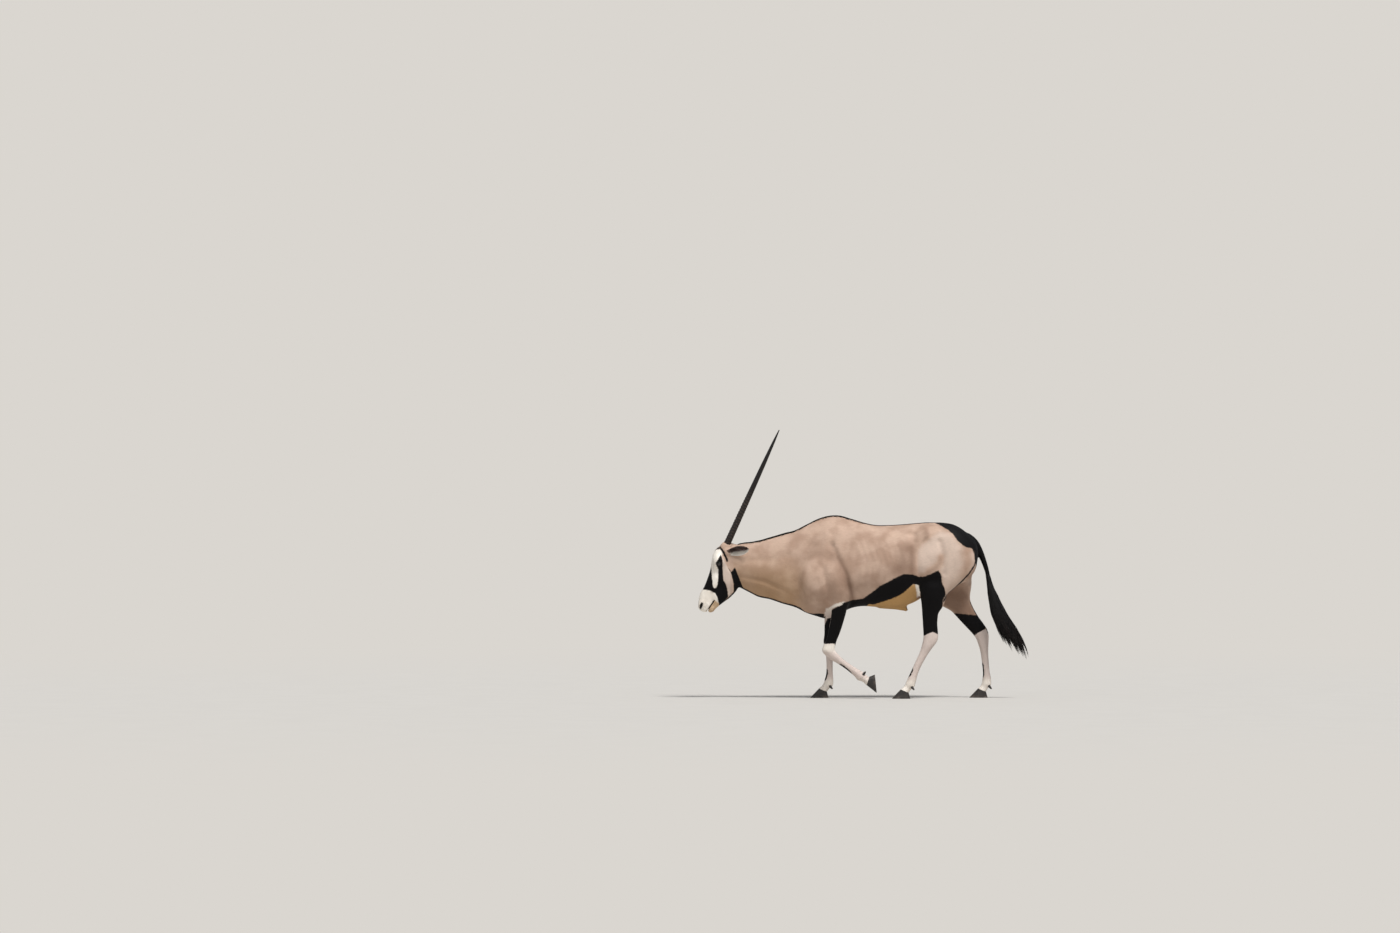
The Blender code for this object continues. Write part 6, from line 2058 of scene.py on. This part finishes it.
# The backdrop's colour, the light that comes from all round, and how far off the floor starts and ends fading
BACKDROP, WORLD_LIGHT, WORLD_STRENGTH = "#DAD6D0", "#E9EDF2", 0.42
FLOOR_FADE = (3.5, 14.0)
FLOOR_CORNERS = ((-90, -90, 0), (90, -90, 0), (90, 90, 0), (-90, 90, 0))
# Each lamp's place, how wide it looks in degrees and its strength: wide ones give soft shadows
LAMPS = (
    ("key", (-1.2, 1.9, 4.3), 18.0, 3.3),
    ("fill", (4.0, 3.0, 1.5), 60.0, 0.30),
)


def floor_material():
    """A pale studio floor: faintly mottled matt paint, which fades into the backdrop's colour far away."""
    material, tree, shader = new_material("pale_floor", Roughness=0.85, Specular_IOR_Level=0.2)
    place = place_of(tree)
    mottle = noise(tree, place, 3.0, 4.0, 0.6)
    shade_with(shader, Base_Color=mixed(tree, mottle, "#BFBBB5", "#C6C2BC"))
    far = add(tree, "VectorMath", {"operation": "LENGTH"}, i0=place).outputs["Value"]
    backdrop = add(tree, "Emission", None, Color=BACKDROP, Strength=1.0)
    faded = ranged(tree, far, *FLOOR_FADE)
    fade = add(tree, "MixShader", None, Fac=faded, i1=shader.outputs[0], i2=backdrop.outputs[0])
    fill(tree.nodes["Material Output"].inputs["Surface"], fade.outputs[0])
    return material


def floor_and_light():
    """A plain pale floor under an even pale backdrop, a wide soft key lamp from above, and a weak fill."""
    corners = np.array(FLOOR_CORNERS) - SHIFT
    new_object("floor", corners, np.array([(0, 1, 2, 3)]), floor_material())
    world = bpy.data.worlds.new("studio")
    world.use_nodes = True
    tree = world.node_tree
    back = tree.nodes["Background"]
    shade_with(back, Color=WORLD_LIGHT, Strength=WORLD_STRENGTH)
    seen = add(tree, "Background", None, Color=BACKDROP)
    ray = add(tree, "LightPath").outputs["Is Camera Ray"]
    choose = add(tree, "MixShader", None, i0=ray, i1=back.outputs[0], i2=seen.outputs[0])
    fill(tree.nodes["World Output"].inputs["Surface"], choose.outputs[0])
    bpy.context.scene.world = world
    for name, place, wide, power in LAMPS:
        lamp = bpy.data.lights.new(name, "SUN")
        lamp.angle, lamp.energy = math.radians(wide), power
        lamp_object = bpy.data.objects.new(name, lamp)
        bpy.context.scene.collection.objects.link(lamp_object)
        lamp_object.location = place
        lamp_object.rotation_euler = (-Vector(place)).to_track_quat("-Z", "Y").to_euler()


# The photograph's camera: level, square to the side, far off with a long lens
CAMERA_PLACE = (1.0568, 50.7, 1.51)
CAMERA_LENS, CAMERA_FILM = 200.0, 36.0


def camera():
    """The camera that looks from the photograph's side."""
    data = bpy.data.cameras.new("photo_camera")
    data.lens, data.sensor_width = CAMERA_LENS, CAMERA_FILM
    data.clip_end = 500.0
    obj = bpy.data.objects.new("photo_camera", data)
    bpy.context.scene.collection.objects.link(obj)
    obj.location = Vector(CAMERA_PLACE) + Vector(SHIFT)
    obj.rotation_euler = (math.radians(90), 0.0, math.radians(180))
    bpy.context.scene.camera = obj


def place_piece(obj, slot, *nodes):
    """Ride a piece on the body, and let it stand for these solids, which are hidden; the slot is not used."""
    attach(obj, "root")
    if nodes:
        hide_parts(*nodes)


bpy.context.scene.view_settings.view_transform = "Standard"
camera()
floor_and_light()
COAT = coat_material("short_coat", 0.45)
SKIN = coat_material("haired_skin", 0.9)
BLACK_LONG = hair_material("long_black_hair", "#0B0909", "#2B2220")
EAR_HAIR = hair_material("fine_ear_hair", "#3B2B29", "#F2EBE1", 0.0)
LID = new_material("wet_lid", Base_Color="#0B0807", Roughness=0.25, Specular_IOR_Level=0.5)[0]
KERATIN, HOOF, EYE, EAR_LEAF = horn_material(), hoof_material(), eye_material(), ear_material()

regions = all_regions()
body_skin = skin(regions)
roots = points_of(body_skin)
for mark_name, mark_of in MARKS.items():
    keep_value(body_skin, mark_name, mark_of(roots))
keep_value(body_skin, "shade", np.full(len(roots), 0.5))
body_skin.data.materials.clear()
body_skin.data.materials.append(SKIN)
body_skin.data.polygons.foreach_set("material_index", np.zeros(len(body_skin.data.polygons), np.int32))
flesh_nodes = ["head", "neck", "torso", "tail_dock"]
flesh_nodes += [f"leg_{leg}_{part}" for leg in FEET for part in ("upper", "cannon", "pastern")]
place_piece(body_skin, "coat", *flesh_nodes)
for piece in coat(regions):
    place_piece(piece, "coat")
for side, place_name in SIDES.items():
    place_piece(horn(side, KERATIN), "horn", f"horn_{place_name}")
    place_piece(ear(side, EAR_LEAF), "pale_coat", f"ear_{place_name}")
    place_piece(eyeball(side, EYE), "eye", f"eye_{place_name}")
    place_piece(lid_rim(side, LID), "coat")
for leg, foot in FEET.items():
    for side, place_name in SIDES.items():
        where = f"{leg}_{place_name}"
        place_piece(claw(f"claw_{where}", foot, side, HOOF), "hoof", f"hoof_{where}")
        place_piece(dewclaw(f"dew_horn_{where}", foot, side, HOOF), "hoof", f"dewclaw_{where}")
place_piece(mane(BLACK_LONG), "dark_hair")
place_piece(tail_hair(BLACK_LONG), "dark_hair", "tail_tuft")
place_piece(dock_core(BLACK_LONG), "dark_hair")
for piece in lashes(BLACK_LONG) + ear_fringe(EAR_HAIR):
    place_piece(piece, "coat")
